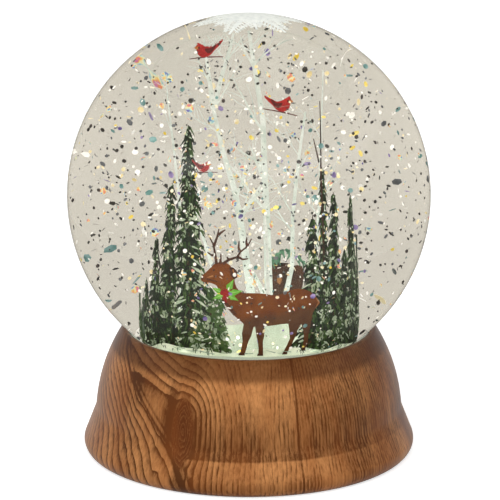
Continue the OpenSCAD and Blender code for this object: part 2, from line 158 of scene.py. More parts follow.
def ramp(tree, factor, stops):
    """A colour for each value of factor, from (value, colour) stops."""
    node = add(tree, "ShaderNodeValToRGB", {"Fac": factor})
    elements = node.color_ramp.elements
    while len(elements) < len(stops):
        elements.new(0.5)
    for element, (place, colour) in zip(elements, stops):
        element.position = place
        element.color = colour
    return node.outputs["Color"]


def two_tone(tree, factor, low, high, start=0.3):
    """A colour that drifts from low to high while factor goes from start to 1 - start."""
    return ramp(tree, factor, [(start, low), (1 - start, high)])


def mix(tree, factor, first, second):
    node = add(tree, "ShaderNodeMix", {"Factor": factor}, data_type="RGBA")
    fill(tree, node.inputs[6], first)
    fill(tree, node.inputs[7], second)
    return node.outputs[2]


def mix_shaders(tree, factor, first, second):
    return add(tree, "ShaderNodeMixShader", {0: factor, 1: first, 2: second}).outputs[0]


def bump(tree, height, depth, strength=1.0):
    node = add(tree, "ShaderNodeBump", {"Height": height, "Strength": strength, "Distance": depth * MM})
    return node.outputs["Normal"]


def new_material(name):
    """A new material, its node tree, and the point on its surface."""
    material = bpy.data.materials.new(name)
    material.use_nodes = True
    tree = material.node_tree
    tree.nodes.clear()
    return material, tree, *position(tree)


def output(tree, shader):
    add(tree, "ShaderNodeOutputMaterial", {"Surface": shader})


def principled(tree, inputs):
    """Ends a material in a Principled surface."""
    output(tree, add(tree, "ShaderNodeBsdfPrincipled", inputs).outputs[0])


def moulded(name, chip, roughness=0.45, mottle_mm=6.0, grain_mm=0.5, relief=0.02):
    """Moulded plastic: a slightly uneven colour and a fine moulded texture."""
    material, tree, x, y, z = new_material(name)
    colour = paint(*chip)
    mottle = noise(tree, x, y, z, 1 / mottle_mm, 3)
    grain = noise(tree, x, y, z, 1 / grain_mm, 2)
    principled(tree, {"Base Color": two_tone(tree, mottle, darker(colour, 0.86), darker(colour, 1.08)),
                      "Roughness": grain * 0.2 + (roughness - 0.1), "Normal": bump(tree, grain, relief)})
    return material


def metal(name, chip, roughness, streak_mm):
    """Bare or plated metal with drawn streaks along Z."""
    material, tree, x, y, z = new_material(name)
    colour = paint(*chip)
    streak = noise(tree, x, y, z * 0.1, 1 / streak_mm, 3)
    principled(tree, {"Base Color": two_tone(tree, streak, darker(colour, 0.8), colour, 0.25),
                      "Metallic": 1.0, "Roughness": streak * 0.25 + (roughness - 0.12),
                      "Normal": bump(tree, streak, 0.01)})
    return material


def lit_plastic(name, chip, glow_chip, glow, speckle_mm=1.2, relief=0.05):
    """Translucent white plastic with the lamp's light in it."""
    material, tree, x, y, z = new_material(name)
    colour, shine = paint(*chip), paint(*glow_chip)
    cloud = noise(tree, x, y, z, 0.12, 2)
    speckle = noise(tree, x, y, z, 1 / speckle_mm, 3)
    principled(tree, {"Base Color": two_tone(tree, cloud, darker(colour, 0.9), colour), "Roughness": 0.6,
                      "Emission Color": two_tone(tree, cloud, darker(shine, 0.75), shine),
                      "Emission Strength": glow, "Normal": bump(tree, speckle, relief)})
    return material


def ink_paint(name, low, high, glow=0.0, scale=0.5):
    """Printed ink: its colour drifts between two chips, and it may pass some of the lamp's light."""
    material, tree, x, y, z = new_material(name)
    tone = noise(tree, x, y, z, scale, 3)
    colour = two_tone(tree, tone, paint(*low), paint(*high), 0.32)
    principled(tree, {"Base Color": colour, "Roughness": 0.6, "Emission Color": colour,
                      "Emission Strength": glow, "Normal": bump(tree, tone, 0.03, 0.4)})
    return material


# ---- Building meshes ----

def polar(turn, distance, start=(0, 0)):
    """The point at a distance from a start, in a direction."""
    return start[0] + math.cos(turn) * distance, start[1] + math.sin(turn) * distance


def arc(centre, radius, start, end, steps):
    """Points (radius, height) along an arc, with its angles in degrees above the outward direction."""
    return [polar(math.radians(start + (end - start) * i / steps), radius, centre) for i in range(steps + 1)]


def new_object(name, data):
    """A new object in the scene."""
    made = bpy.data.objects.new(name, data)
    bpy.context.scene.collection.objects.link(made)
    return made


def piece(name, bm, materials, replaces=(), body="base", crease=35):
    """Turns a bmesh into a piece of the object that rides on a body."""
    bmesh.ops.recalc_face_normals(bm, faces=bm.faces)
    mesh = bpy.data.meshes.new(name)
    bm.to_mesh(mesh)
    bm.free()
    for material in materials:
        mesh.materials.append(material)
    mesh.shade_smooth()
    mesh.set_sharp_from_angle(angle=math.radians(crease))
    made = new_object(name, mesh)
    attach(made, body)
    if replaces:
        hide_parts(*replaces)


def revolve(bm, profile, steps=192, centre=(0, 0), closed=False):
    """Turns (radius, height) points about a vertical axis. A point on the axis is one vertex."""
    rings = []
    for radius, height in profile:
        count = steps if radius > 1e-6 else 1
        rings.append([])
        for i in range(count):
            x, y = polar(2 * math.pi * i / count, radius, centre)
            rings[-1].append(bm.verts.new((x * MM, y * MM, height * MM)))
    pairs = list(zip(rings, rings[1:]))
    if closed:
        pairs.append((rings[-1], rings[0]))
    for low, high in pairs:
        for i in range(steps):
            j = (i + 1) % steps
            corners = [low[i % len(low)], low[j % len(low)], high[j % len(high)], high[i % len(high)]]
            corners = list(dict.fromkeys(corners))
            if len(corners) > 2:
                bm.faces.new(corners)


def on_tube(arc_mm, height, lift):
    """A point on the tube: arc_mm round from the front, at a height above the table."""
    angle = arc_mm / TUBE_R
    radius = (TUBE_R + lift) * MM
    return Vector((radius * math.sin(angle), -radius * math.cos(angle), height * MM))


def on_crown(x, y, lift):
    """A point over (x, y) on the outside of the top of the globe."""
    share = (GLOBE_R + lift) / GLOBE_R
    height = math.sqrt(max(GLOBE_R ** 2 - x * x - y * y, 0))
    return Vector((x * share * MM, y * share * MM, (GLOBE_Z + height * share) * MM))


def at(degrees):
    """Millimetres round the tube from the front to an angle."""
    return math.radians(degrees) * TUBE_R


def tapered(line, width, loss):
    """Widths for a line that starts at width and loses a share of it by its end."""
    return [width * (1 - loss * i / (len(line) - 1)) for i in range(len(line))]


class Print:
    """Shapes drawn flat in mm and laid on a curved surface as thin closed solids, all in one mesh."""

    STEP = 1.5  # mm at most between points, so that shapes bend with the surface

    def __init__(self, lay=on_tube, thickness=INK):
        self.bm = bmesh.new()
        self.lay = lay
        self.thickness = thickness

    def solid(self, points, faces, lift):
        """One closed solid over flat faces, given as lists of point numbers that all run the same way."""
        low = [self.bm.verts.new(self.lay(x, y, lift)) for x, y in points]
        high = [self.bm.verts.new(self.lay(x, y, lift + self.thickness)) for x, y in points]
        edges = set()
        for face in faces:
            self.bm.faces.new([high[i] for i in face])
            self.bm.faces.new([low[i] for i in reversed(face)])
            edges.update(zip(face, face[1:] + face[:1]))
        for a, b in sorted(edges):
            if (b, a) not in edges:
                self.bm.faces.new((low[a], low[b], high[b], high[a]))

    def strip(self, line, widths, lift):
        """A ribbon along a line of points, with its width given at each point."""
        route, spans = [], []
        for (a, b), (wa, wb) in zip(zip(line, line[1:]), zip(widths, widths[1:])):
            parts = max(1, math.ceil(math.dist(a, b) / self.STEP))
            for k in range(parts):
                t = k / parts
                route.append((a[0] + (b[0] - a[0]) * t, a[1] + (b[1] - a[1]) * t))
                spans.append(wa + (wb - wa) * t)
        route.append(line[-1])
        spans.append(widths[-1])
        points = []
        for i, (x, y) in enumerate(route):
            before, after = route[max(0, i - 1)], route[min(len(route) - 1, i + 1)]
            length = math.dist(before, after) or 1.0
            nx, ny = -(after[1] - before[1]) / length, (after[0] - before[0]) / length
            half = max(spans[i], 0.04) / 2
            points += [(x + nx * half, y + ny * half), (x - nx * half, y - ny * half)]
        faces = [[2 * i + 1, 2 * i + 3, 2 * i + 2, 2 * i] for i in range(len(route) - 1)]
        self.solid(points, faces, lift)

    def patch(self, outline, lift):
        """A filled outline, cut into narrow bands so that it bends with the surface."""
        flat = bmesh.new()
        flat.faces.new([flat.verts.new((x, y, 0)) for x, y in outline])
        bmesh.ops.triangulate(flat, faces=flat.faces)
        for axis in (0, 1):
            low = min(p[axis] for p in outline)
            high = max(p[axis] for p in outline)
            cut = low + self.STEP
            while cut < high:
                place, normal = [0, 0, 0], [0, 0, 0]
                place[axis], normal[axis] = cut, 1
                geometry = flat.verts[:] + flat.edges[:] + flat.faces[:]
                bmesh.ops.bisect_plane(flat, geom=geometry, plane_co=place, plane_no=normal)
                cut += self.STEP
        flat.normal_update()
        for face in flat.faces:
            if face.normal.z < 0:
                face.normal_flip()
        flat.verts.index_update()
        points = [(v.co.x, v.co.y) for v in flat.verts]
        self.solid(points, [[v.index for v in face.verts] for face in flat.faces], lift)
        flat.free()

    def blob(self, rng, x, y, wide, tall, lift, sides=9, rough=0.25):
        """A rounded, uneven patch."""
        outline = []
        for i in range(sides):
            a = 2 * math.pi * i / sides
            r = 1 + rough * (rng.random() * 2 - 1)
            outline.append((x + wide / 2 * r * math.cos(a), y + tall / 2 * r * math.sin(a)))
        self.solid(outline, [list(range(sides))], lift)

    def done(self, name, material, slot, *replaces):
        """Makes the print a piece."""
        piece(name, self.bm, [material], replaces, crease=50)

    def inked(self, name, slot, low, high, glow=0.0, scale=0.5, replaces=()):
        """Makes the print a piece in plain ink."""
        self.done(name, ink_paint(name + "_ink", low, high, glow, scale), slot, *replaces)


def smooth_closed(points, parts=4):
    """A round-cornered outline through a few points (Catmull-Rom)."""
    out = []
    n = len(points)
    for i in range(n):
        p0, p1, p2, p3 = (points[(i + k - 1) % n] for k in range(4))
        for k in range(parts):
            t = k / parts
            out.append(tuple(0.5 * (2 * b + (c - a) * t + (2 * a - 5 * b + 4 * c - d) * t * t
                                    + (3 * b - a - 3 * c + d) * t ** 3)
                             for a, b, c, d in zip(p0, p1, p2, p3)))
    return out


# ---- The wood-look base ----

BELL = (-6.3, 14.3)
BELL_R = 70.5
WAIST_Z = 19.0
BULGE_R = 5.0
BULGE = (64.2, BULGE_R)
FLARE = 20.0
BASE_WALL = 2.4
RIM_R = 50.7
POST_R = 3.5
POST_BORE = 1.2
POST_RING = 54.0
POST_TOP = 36.0
LEDGE_Z = 4.3
LEDGE_R = 60.5
CAVITY_R = 65.4
COVER_R = 62.6
WRAP_R = 64.0
GRAIN = 2 * math.pi * WRAP_R / 270
KNOT_LEFT = 28
KNOT_Z = 25.0
LIGHT_WOOD = paint(186, 128, 78)
DARK_WOOD = paint(56, 25, 8)
KNOT_WOOD = paint(78, 34, 13)
RED_WOOD = paint(132, 68, 26)
WOOD_SHEEN = paint(255, 176, 112)
RIM_SHADE_LOW, RIM_SHADE_FULL = 43.5, 47.0  # heights between which painted shade sets in under the rim, where the globe overhangs


def bell_turn(height, radius=BELL_R):
    """The angle of a point on the bell, above the outward direction."""
    return math.degrees(math.asin((height - BELL[1]) / radius))


def wood_lines(rings):
    """Growth rings: the wood darkens slowly and ends in a thin dark line, once for each whole number."""
    phase = rings.op("FRACT")
    slow = phase.op("POWER", 2.6)
    return slow * phase.step(1.0, 0.92)


def knot_place(around, z, slow):
    """How far a point is from the knot: round the base, up it, and counted in rings. The rings pass over the
    knot from the upper left and run straight down on its right."""
    across = around + KNOT_LEFT + (slow - 0.5) * 3
    up = z - KNOT_Z
    squeezed = across.op("MAXIMUM", -4.0) + (across + 4.0).op("MINIMUM", 0) * 0.06
    over = up + across.op("MINIMUM", 0) * 0.36
    tall = over.op("MAXIMUM", -14) * 0.34 + (over - 8).op("MAXIMUM", 0) * 0.42
    return across, up, (squeezed * squeezed + tall * tall).op("SQRT")


def grain_lines(around, seam, reach, ripple, spread):
    """Rings about the knot, grain that slants down towards it left of a bold seam, and straight grain."""
    wobble = (ripple - 0.5) * 0.7
    ringed = wood_lines(reach / 2.1 + (ripple - 0.5) * 0.45 + (spread - 0.5) * 3.5 * reach.step(9, 28))
    slanted = wood_lines(seam / 4.6 + wobble + (spread - 0.5) * 2)
    straight = wood_lines((around + 27) / GRAIN + wobble + (spread - 0.5) * 5)
    lines = slanted + (ringed - slanted) * seam.step(-0.5, 0.6)
    lines = lines + (straight - lines) * (around * -1).step(115, 150)
    return lines + (straight - lines) * around.step(-6, 12)


def broad_tone(around, z, tone_band, band):
    """How dark the print is between its lines: broad bands and a pale front, with painted shade on the right
    side and at the waist and a painted highlight on the foot.
    """
    # Painted shade: the right side of the base is darker, as if turned away from the light
    painted_right_shade = around.between(33, 44, 90, 150)
    pale_front = around.between(-10, -2, 11, 17)
    low_front = z.step(11, 4) * around.step(-34, -22) * around.step(36, 24)
    # Painted shade: darker from mid height down to the waist, most at the front
    painted_waist_shade = z.step(42, 15) * z.step(14.2, 15.2) * around.step(-36, -24) * around.step(150, 90)
    painted_waist_shade = painted_waist_shade * (around.step(50, 24) * 0.8 + 0.2)
    shade = tone_band * 0.34 + band * 0.20 + 0.15 + painted_right_shade * 0.21 - pale_front * 0.08
    # The foot below the waist is made lighter all round, a painted highlight
    return (shade + low_front * 0.28 + painted_waist_shade * 0.42 - z.step(15.2, 14.2) * 0.10).op("MAXIMUM", 0)


def wood_print():
    """Printed pine grain that wraps the base, with a knot left of the front."""
    material, tree, x, y, z = new_material("wood_print")
    around = x.op("ARCTAN2", y * -1) * WRAP_R

    def grain(stretch, scale, detail, roughness=0.5):
        """Noise that is drawn out up the base."""
        return noise(tree, x, y, z * stretch, scale, detail, roughness)

    slow, ripple, spread = grain(0.3, 0.045, 2), grain(0.22, 0.22, 2), grain(0.03, 0.06, 2)
    across, up, reach = knot_place(around, z, slow)
    seam = around + z * 0.30 + z * z * 0.014 + 24
    right_side = seam.step(-0.5, 0.6)
    front = (around * -1).step(110, 70)

    # Lines are bold about the knot and left of it. On its right a few are bold and most are faint
    tone_band, band = (grain(0.02, 0.05, 1) - 0.5) * 2.4, (grain(0.02, 0.16, 2) - 0.5) * 2.2
    chosen = grain(0.02, 0.5, 1).step(0.42, 0.66)
    bold = reach.step(26, 9).op("MAXIMUM", seam.step(2, -2)) * front
    strength = (chosen * 0.62 + band * 0.35 + 0.26).op("MAXIMUM", bold * 1.05)
    fine = grain(0.015, 1.1, 3, 0.75).step(0.36, 0.66)
    streak = ((around - 21 + (slow - 0.5) * 3) / 0.7).op("ABSOLUTE").step(1.0, 0.2)
    shade = broad_tone(around, z, tone_band, band)
    shade = shade + grain_lines(around, seam, reach, ripple, spread) * strength + fine * 0.32 + streak * 0.62

    # The knot's dark heart, with fine pale rings in it, and the dark wood to its left, about it and below
    core = (across * across + up * up * 0.12).op("SQRT")
    heart = core.step(5.4, 4.0) * right_side
    fine_rings = wood_lines(core / 0.7 + ripple * 5)
    flecks = grain(0.5, 1.4, 2, 0.7).step(0.5, 0.7)
    smear_x, smear_z = (across + 6.5) * 0.20, (up - 4.5) * 0.057
    smear = (smear_x * smear_x + smear_z * smear_z).op("SQRT").step(1.0, 0.2) * right_side
    edge = (seam.between(-2.2, -0.4, 0.3, 1.8) + seam.between(2.6, 3.3, 3.7, 5.2) * 0.6) * front
    root = (across / 3.0).op("ABSOLUTE").step(1.0, 0.3) * z.step(17, 10)
    about = reach.step(11, 5) * right_side
    shade = shade + heart * 0.42 + smear * 0.62 + edge * 0.55 + root * 0.36 + about * 0.14
    shade = shade.op("MINIMUM", 0.95) - heart * (fine_rings * 0.40 + flecks * 0.26)
    tone = mix(tree, heart * 0.55, mix(tree, shade, LIGHT_WOOD, DARK_WOOD), KNOT_WOOD)

    # A small knot on the right, redder patches, and painted shade under the rim, where the globe overhangs
    small = ((around - 88) * (around - 88) * 0.5 + (z - 17) * (z - 17) * 0.12).op("SQRT")
    tone = mix(tree, small.step(4.5, 1.0) * 0.7, tone, KNOT_WOOD)
    tone = mix(tree, grain(0.05, 0.1, 2).step(0.35, 0.7) * 0.3, tone, RED_WOOD)
    tone = mix(tree, z.step(RIM_SHADE_LOW, RIM_SHADE_FULL) * 0.68, tone, DARK_WOOD)
    fibre = grain(0.05, 2.0, 3)
    principled(tree, {"Base Color": tone, "Roughness": fibre * 0.12 + 0.24, "Specular IOR Level": 0.4,
                      "Specular Tint": WOOD_SHEEN, "Normal": bump(tree, fibre, 0.03, 0.4)})
    return material


def soft_waist(low, high, steps):
    """The hollow where the flare meets the bell, a curve that runs from one direction into the other."""
    top = polar(math.radians(FLARE), BULGE_R, BULGE)
    waist = (polar(math.radians(bell_turn(WAIST_Z)), BELL_R, BELL)[0], WAIST_Z)
    share = (low - waist[1]) / (top[1] - waist[1])
    first = (waist[0] + (top[0] - waist[0]) * share, low)
    last = (polar(math.radians(bell_turn(high)), BELL_R, BELL)[0], high)
    points = []
    for i in range(steps + 1):
        t = i / steps
        weights = ((1 - t) ** 2, 2 * t * (1 - t), t * t)
        points.append(tuple(sum(w * p[k] for w, p in zip(weights, (first, waist, last))) for k in (0, 1)))
    return points


def base_profile():
    """The base's outside from the foot to the rim, then its inside back down to the shelf and the foot."""
    inner = BELL_R - BASE_WALL
    start = -math.degrees(math.asin((BULGE_R - FOOT_Z) / BULGE_R))
    lip = 0.5
    edge = BELL[0] + math.sqrt(BELL_R ** 2 - (RIM_Z - BELL[1]) ** 2)
    outside = arc(BULGE, BULGE_R, start, FLARE, 20) + soft_waist(17.4, 20.6, 8)
    outside += arc(BELL, BELL_R, bell_turn(20.6), bell_turn(RIM_Z - lip), 54)[1:]
    rim = [(edge - 0.25, RIM_Z - 0.08), (edge - 0.6, RIM_Z), (RIM_R + 0.3, RIM_Z), (RIM_R, RIM_Z - 0.3)]
    inside = arc(BELL, inner, bell_turn(50, inner), bell_turn(WAIST_Z, inner), 24)
    shelf = [(CAVITY_R, LEDGE_Z + 3.7), (CAVITY_R, LEDGE_Z + 2.2), (LEDGE_R, LEDGE_Z + 2.2),
             (LEDGE_R, LEDGE_Z + 0.1), (COVER_R, LEDGE_Z + 0.1), (COVER_R, FOOT_Z)]
    return outside + rim + inside + shelf


def make_base():
    bm = bmesh.new()
    revolve(bm, base_profile(), steps=256, closed=True)
    piece("wood_base", bm, [wood_print()], ["base_shell"], crease=28)
    posts = bmesh.new()
    for k in range(4):
        centre = polar(math.radians(45 + 90 * k), POST_RING)
        revolve(posts, [(POST_BORE, LEDGE_Z + 0.1), (POST_R - 0.3, LEDGE_Z + 0.1), (POST_R, LEDGE_Z + 0.4),
                        (POST_R, POST_TOP - 0.3), (POST_R - 0.3, POST_TOP), (POST_BORE, POST_TOP)],
                steps=40, centre=centre, closed=True)
    piece("base_posts", posts, [moulded("base_inside", (120, 84, 56))], ["base_shell"])


# ---- The globe, its liquid and the tube ----

def shadow_free(tree, shader, clear):
    """Lets lamp light straight through, so that what is inside is lit."""
    path = add(tree, "ShaderNodeLightPath")
    return mix_shaders(tree, path.outputs["Is Shadow Ray"], shader, clear)


# A beige-grey tint on the clear wall: painted shade for the dimmer studio seen through the globe, as the
# real acrylic is clear. It also dims the lamp light let through.
GLOBE_SHADE_TINT = (0.731, 0.709, 0.661, 1.0)


def clear_wall():
    """The globe's outer face, which bends light as wall and liquid do together. Its tint and its darker edge
    are painted shade.
    """
    material, tree, x, y, z = new_material("clear_wall")
    wave = noise(tree, x, y, z, 0.03, 1)
    facing = add(tree, "ShaderNodeLayerWeight", {"Blend": 0.5})
    # Painted shade by how far the face turns away: a lighter ring, then a dark line at the edge
    shares = {0.0: 1.0, 0.78: 1.04, 0.86: 0.95, 0.95: 0.62}
    tints = [(turned_away, darker(GLOBE_SHADE_TINT, share)) for turned_away, share in shares.items()]
    tint = ramp(tree, facing.outputs["Facing"], tints)
    bent = add(tree, "ShaderNodeBsdfRefraction",
               {"Color": tint, "Roughness": 0.0, "IOR": 1.34, "Normal": bump(tree, wave, 0.01, 0.2)})
    gloss = add(tree, "ShaderNodeBsdfGlossy", {"Color": WHITE, "Roughness": 0.03})
    glass = mix_shaders(tree, 0.018, bent.outputs[0], gloss.outputs[0])
    clear = add(tree, "ShaderNodeBsdfTransparent", {"Color": darker(GLOBE_SHADE_TINT, 0.9)})
    output(tree, shadow_free(tree, glass, clear.outputs[0]))
    return material


def see_through(name, low, high=WHITE, scale=0.05):
    """A boundary inside the globe that light crosses unbent: only its faint tint varies."""
    material, tree, x, y, z = new_material(name)
    tint = two_tone(tree, noise(tree, x, y, z, scale, 2), low, high)
    output(tree, add(tree, "ShaderNodeBsdfTransparent", {"Color": tint}).outputs[0])
    return material


def make_globe():
    inner = GLOBE_R - GLOBE_WALL
    neck_in = NECK_R - GLOBE_WALL
    seat = math.degrees(math.asin(math.sqrt(GLOBE_R ** 2 - NECK_R ** 2) / GLOBE_R))
    seat_in = math.degrees(math.asin(math.sqrt(inner ** 2 - neck_in ** 2) / inner))
    bm = bmesh.new()
    outside = arc((0, GLOBE_Z), GLOBE_R, -seat, 90, 150)[:-1] + [(0, GLOBE_Z + GLOBE_R)]
    inside = [(0, GLOBE_Z + inner)] + arc((0, GLOBE_Z), inner, 90, -seat_in, 110)[1:]
    revolve(bm, [(neck_in, NECK_Z), (NECK_R, NECK_Z)] + outside + inside, steps=256, closed=True)
    middle = Vector((0, 0, GLOBE_Z * MM))
    for face in bm.faces:
        centre = face.calc_center_median()
        if (centre - middle).length < (inner + 0.5) * MM or centre.z < (NECK_Z + 8) * MM:
            face.material_index = 1
    faces = [clear_wall(), see_through("globe_inside", (0.99, 0.99, 0.99, 1))]
    piece("clear_globe", bm, faces, ["globe_shell"])


def make_liquid():
    radius = GLOBE_R - GLOBE_WALL - 0.1
    wide, narrow, step_z = 38.0, 36.2, FLOOR_Z - 8
    low = math.degrees(math.asin((step_z - GLOBE_Z) / radius))
    start = math.sqrt(radius ** 2 - (step_z - GLOBE_Z) ** 2)
    bm = bmesh.new()
    bottom = [(0, FLOOR_Z), (narrow, FLOOR_Z), (narrow, step_z), (min(wide, start), step_z)]
    ball = arc((0, GLOBE_Z), radius, low, 90, 96)[:-1]
    revolve(bm, bottom + ball + [(0, GLOBE_Z + radius)], steps=160)
    tint = see_through("liquid_tint", (0.985, 0.985, 0.975, 1), (1, 0.995, 0.985, 1), 0.02)
    piece("liquid", bm, [tint], ["liquid_fill"])


def film():
    """The tube: clear film with a frosted print that is thickest near the snow and faint above the trees."""
    material, tree, x, y, z = new_material("frosted_film")
    cloud = noise(tree, x, y, z * 0.6, 0.11, 3)
    streaks = noise(tree, x, y, z * 0.15, 0.5, 2)
    fade = z.step(TUBE_FOOT + 70, TUBE_FOOT + 4)
    haze = (fade * 0.007 + 0.002) * (cloud * 1.6 + 0.2) * (streaks * 0.6 + 0.7)
    edge = z.step(TUBE_TOP - 0.5, TUBE_TOP - 0.15) * 0.08
    # Painted sheen: where the film is seen edge-on it turns to the pale ink, which glows faintly
    rim = add(tree, "ShaderNodeLayerWeight", {"Blend": 0.25})
    gleam = Num(tree, rim.outputs["Facing"]).op("POWER", 5) * 0.10
    ink = add(tree, "ShaderNodeBsdfPrincipled",
              {"Base Color": paint(196, 216, 202), "Roughness": 0.5, "Emission Color": paint(196, 232, 210),
               "Emission Strength": 0.15})
    clear = add(tree, "ShaderNodeBsdfTransparent")
    output(tree, mix_shaders(tree, (haze + edge).op("MAXIMUM", gleam), clear.outputs[0], ink.outputs[0]))
    return material


def make_tube():
    bm = bmesh.new()
    inner, outer, soft = TUBE_R - TUBE_WALL, TUBE_R - 0.02, 0.15
    revolve(bm, [(inner, TUBE_FOOT), (outer, TUBE_FOOT), (outer, TUBE_TOP - soft), (outer - soft, TUBE_TOP),
                 (inner + soft, TUBE_TOP), (inner, TUBE_TOP - soft)], steps=160, closed=True)
    piece("printed_tube", bm, [film()], ["scene_tube"])


# ---- Printed art ----

def bough(rng, inks, root, reach, droop, side, deep):
    """A drooping fir bough: hanging needles in dark and mid green along its stem, and snow on it."""
    def along(t):
        return root[0] + side * reach * t, root[1] - droop * t ** 1.5

    inks[deep].strip([along(k / 3) for k in range(4)], [1.5, 1.5, 1.2, 0.3], rng.uniform(0.05, 0.4))
    count = max(3, int(reach / 0.55))
    for k in range(count):
        t = (k + rng.random()) / count
        x, y = along(t)
        length = rng.uniform(1.4, 3.8) * (1.15 - 0.5 * t)
        slope = side * rng.uniform(-0.25, 0.95)
        tone = deep if rng.random() < 0.66 else "green"
        inks[tone].strip([(x, y + 0.4), (x + slope * length, y - length)], [rng.uniform(0.6, 1.3), 0.12],
                         rng.uniform(0.05, 0.4))
    if rng.random() < 0.5:
        first, last = rng.uniform(0.1, 0.5), rng.uniform(0.6, 1.0)
        top = [(x, y + 0.6) for x, y in (along(first), along((first + last) / 2), along(last))]
        inks["snow"].strip(top, [0.2, rng.uniform(0.5, 1.3), 0.15], rng.uniform(0.3, 0.5))


def pocket(rng, inks, x, y, size):
    """A pale gap of snow between boughs, with a few needles across it."""
    inks["pale"].blob(rng, x, y, size, size * rng.uniform(0.9, 1.4), rng.uniform(0.42, 0.46), 10, 0.4)
    for _ in range(int(size * 2.0)):
        sx, sy = x + rng.uniform(-0.5, 0.5) * size, y + rng.uniform(-0.3, 0.6) * size
        length = rng.uniform(0.8, 2.2)
        needle = inks["green" if rng.random() < 0.6 else "dark"]
        tip = (sx + rng.uniform(-0.6, 0.6) * length, sy - length)
        needle.strip([(sx, sy), tip], [rng.uniform(0.3, 0.7), 0.1], 0.5)


def ragged(rng, centre, foot, tip, left, right, rows):
    """The sawtooth outline of a fir."""
    rights, lefts = [], []
    for k in range(rows):
        t = (k + 1) / rows
        y = tip - (tip - foot) * t
        for points, half in ((rights, right), (lefts, -left)):
            reach = half * (0.06 + 0.94 * t)
            points += [(centre + reach * rng.uniform(0.9, 1.1), y), (centre + reach * 0.55, y - 0.4)]
    return [(centre, tip)] + rights[:-1] + lefts[:-1][::-1]


def pine(rng, inks, centre, foot, tip, left, right, lean, deep="dark"):
    """A snowy fir from foot to tip, mostly in the deep ink, with half widths left and right at its foot."""
    height = tip - foot
    trunk = [(centre - lean, foot), (centre - lean / 2, foot + height / 2), (centre, tip)]
    inks["trunk"].strip(trunk, [1.9, 1.3, 0.3], 0.1)
    core = ragged(rng, centre - lean * 0.6, foot + 2, tip - height * 0.03, left * 0.66, right * 0.66,
                  max(5, int(height / 6)))
    inks[deep].patch(core, 0.03)
    y = tip - 1.2
    while y > foot + height * 0.05:
        t = (tip - y) / height
        for side, half in ((-1, left), (1, right)):
            reach = half * min(1.0, 0.08 + 0.95 * t) * rng.uniform(0.6, 1.12)
            root = (centre - lean * t, y + rng.uniform(-0.8, 0.8))
            bough(rng, inks, root, reach, reach * rng.uniform(0.25, 0.65), side, deep)
        y -= 1.3 + 1.3 * t
    for _ in range(int(height * (left + right) / 42)):
        t = rng.uniform(0.2, 0.98)
        x = centre - lean * t + rng.uniform(-left, right) * t * 0.85
        pocket(rng, inks, x, tip - height * t, rng.uniform(0.6, 2.9) * (0.5 + 0.6 * t))


def pine_wood(rng):
    inks = {name: Print() for name in ("pale", "trunk", "dark", "green", "light", "snow")}
    foot = TUBE_FOOT + 0.6
    # Angle, lean round the tube, height of the tip, half widths left and right, and any ink that isn't dark
    firs = [(-40, -1.5, 140, 10.5, 13.0), (-52, 1.0, 118, 9.5, 6.0), (-66, 0.0, 98, 9.0, 7.0),
            (-79, 1.0, 84, 6.0, 6.0), (-24, 0.0, 84, 6.0, 6.5, "green"), (-33, 0.0, 78, 6.0, 6.0, "green"),
            (-17.5, 0.0, 81, 4.0, 4.2, "light"), (49, -0.5, 124, 3.4, 4.0), (59, -0.5, 114, 9.0, 6.5),
            (41, 0.5, 108, 8.5, 7.0), (80, 0.5, 111, 7.5, 7.5), (70, 0.0, 94, 7.5, 7.0),
            (96, 0.0, 96, 7.5, 7.5), (50, 0.0, 78, 6.0, 6.0, "green"), (66, 0.0, 74, 6.0, 6.0, "green"),
            (116, 0.0, 104, 8.0, 8.0), (134, 0.0, 88, 6.5, 6.5, "green"), (-98, 0.0, 80, 6.0, 6.5, "green"),
            (-116, 0.0, 76, 7.0, 7.0), (-138, 0.0, 82, 6.0, 6.0, "green")]
    for angle, lean, tip, left, right, *ink in firs:
        pine(rng, inks, at(angle), foot, tip, left, right, lean, *ink)
    # A bare trunk and a twig stand in front of the firs on the right
    inks["trunk"].strip([(at(49.0), 90), (at(47.4), 122), (at(49.3), TUBE_TOP - 0.6)], [0.9, 0.8, 0.35], 0.5)
    inks["trunk"].strip([(at(42.5), 135), (at(46.2), 126)], [0.3, 0.7], 0.5)
    tones = {"pale": ("pine_gaps", (142, 168, 138), (206, 220, 192), 0.10),
             "trunk": ("pine_trunks", (46, 30, 22), (84, 56, 40)),
             "dark": ("pine_boughs", (8, 24, 12), (34, 56, 28)),
             "green": ("pine_needles", (40, 74, 34), (88, 120, 62), 0.02),
             "light": ("pine_saplings", (62, 98, 48), (104, 138, 80), 0.03),
             "snow": ("pine_snow", (176, 202, 172), (226, 238, 220), 0.15)}
    for key, (name, *tone) in tones.items():
        inks[key].inked(name, "ink_pine", *tone, replaces=["pine_art"])


def limb(rng, ink, start, heading, length, width, forks):
    """A birch limb that wanders upwards and forks."""
    line, widths = [start], [width]
    x, y = start
    parts = 5
    for k in range(parts):
        heading += rng.uniform(-0.16, 0.16)
        x += math.sin(heading) * length / parts
        y += math.cos(heading) * length / parts
        if y > TUBE_TOP - 0.8:
            break
        line.append((x, y))
        widths.append(width * (1 - 0.75 * (k + 1) / parts))
    if len(line) < 2:
        return
    ink.strip(line, widths, rng.uniform(0.09, 0.15))
    if forks > 0:
        for root, thick in zip(line[1:-1], widths[1:]):
            if rng.random() < 0.8:
                turn = rng.choice((-1, 1)) * rng.uniform(0.35, 0.8)
                limb(rng, ink, root, heading + turn, length * rng.uniform(0.4, 0.62), thick * 0.6, forks - 1)


def somewhere(rng, line):
    """A random point on a line, and the number of the point after it."""
    i = rng.randrange(1, len(line))
    t = rng.random()
    a, b = line[i - 1], line[i]
    return i, a[0] + (b[0] - a[0]) * t, a[1] + (b[1] - a[1]) * t


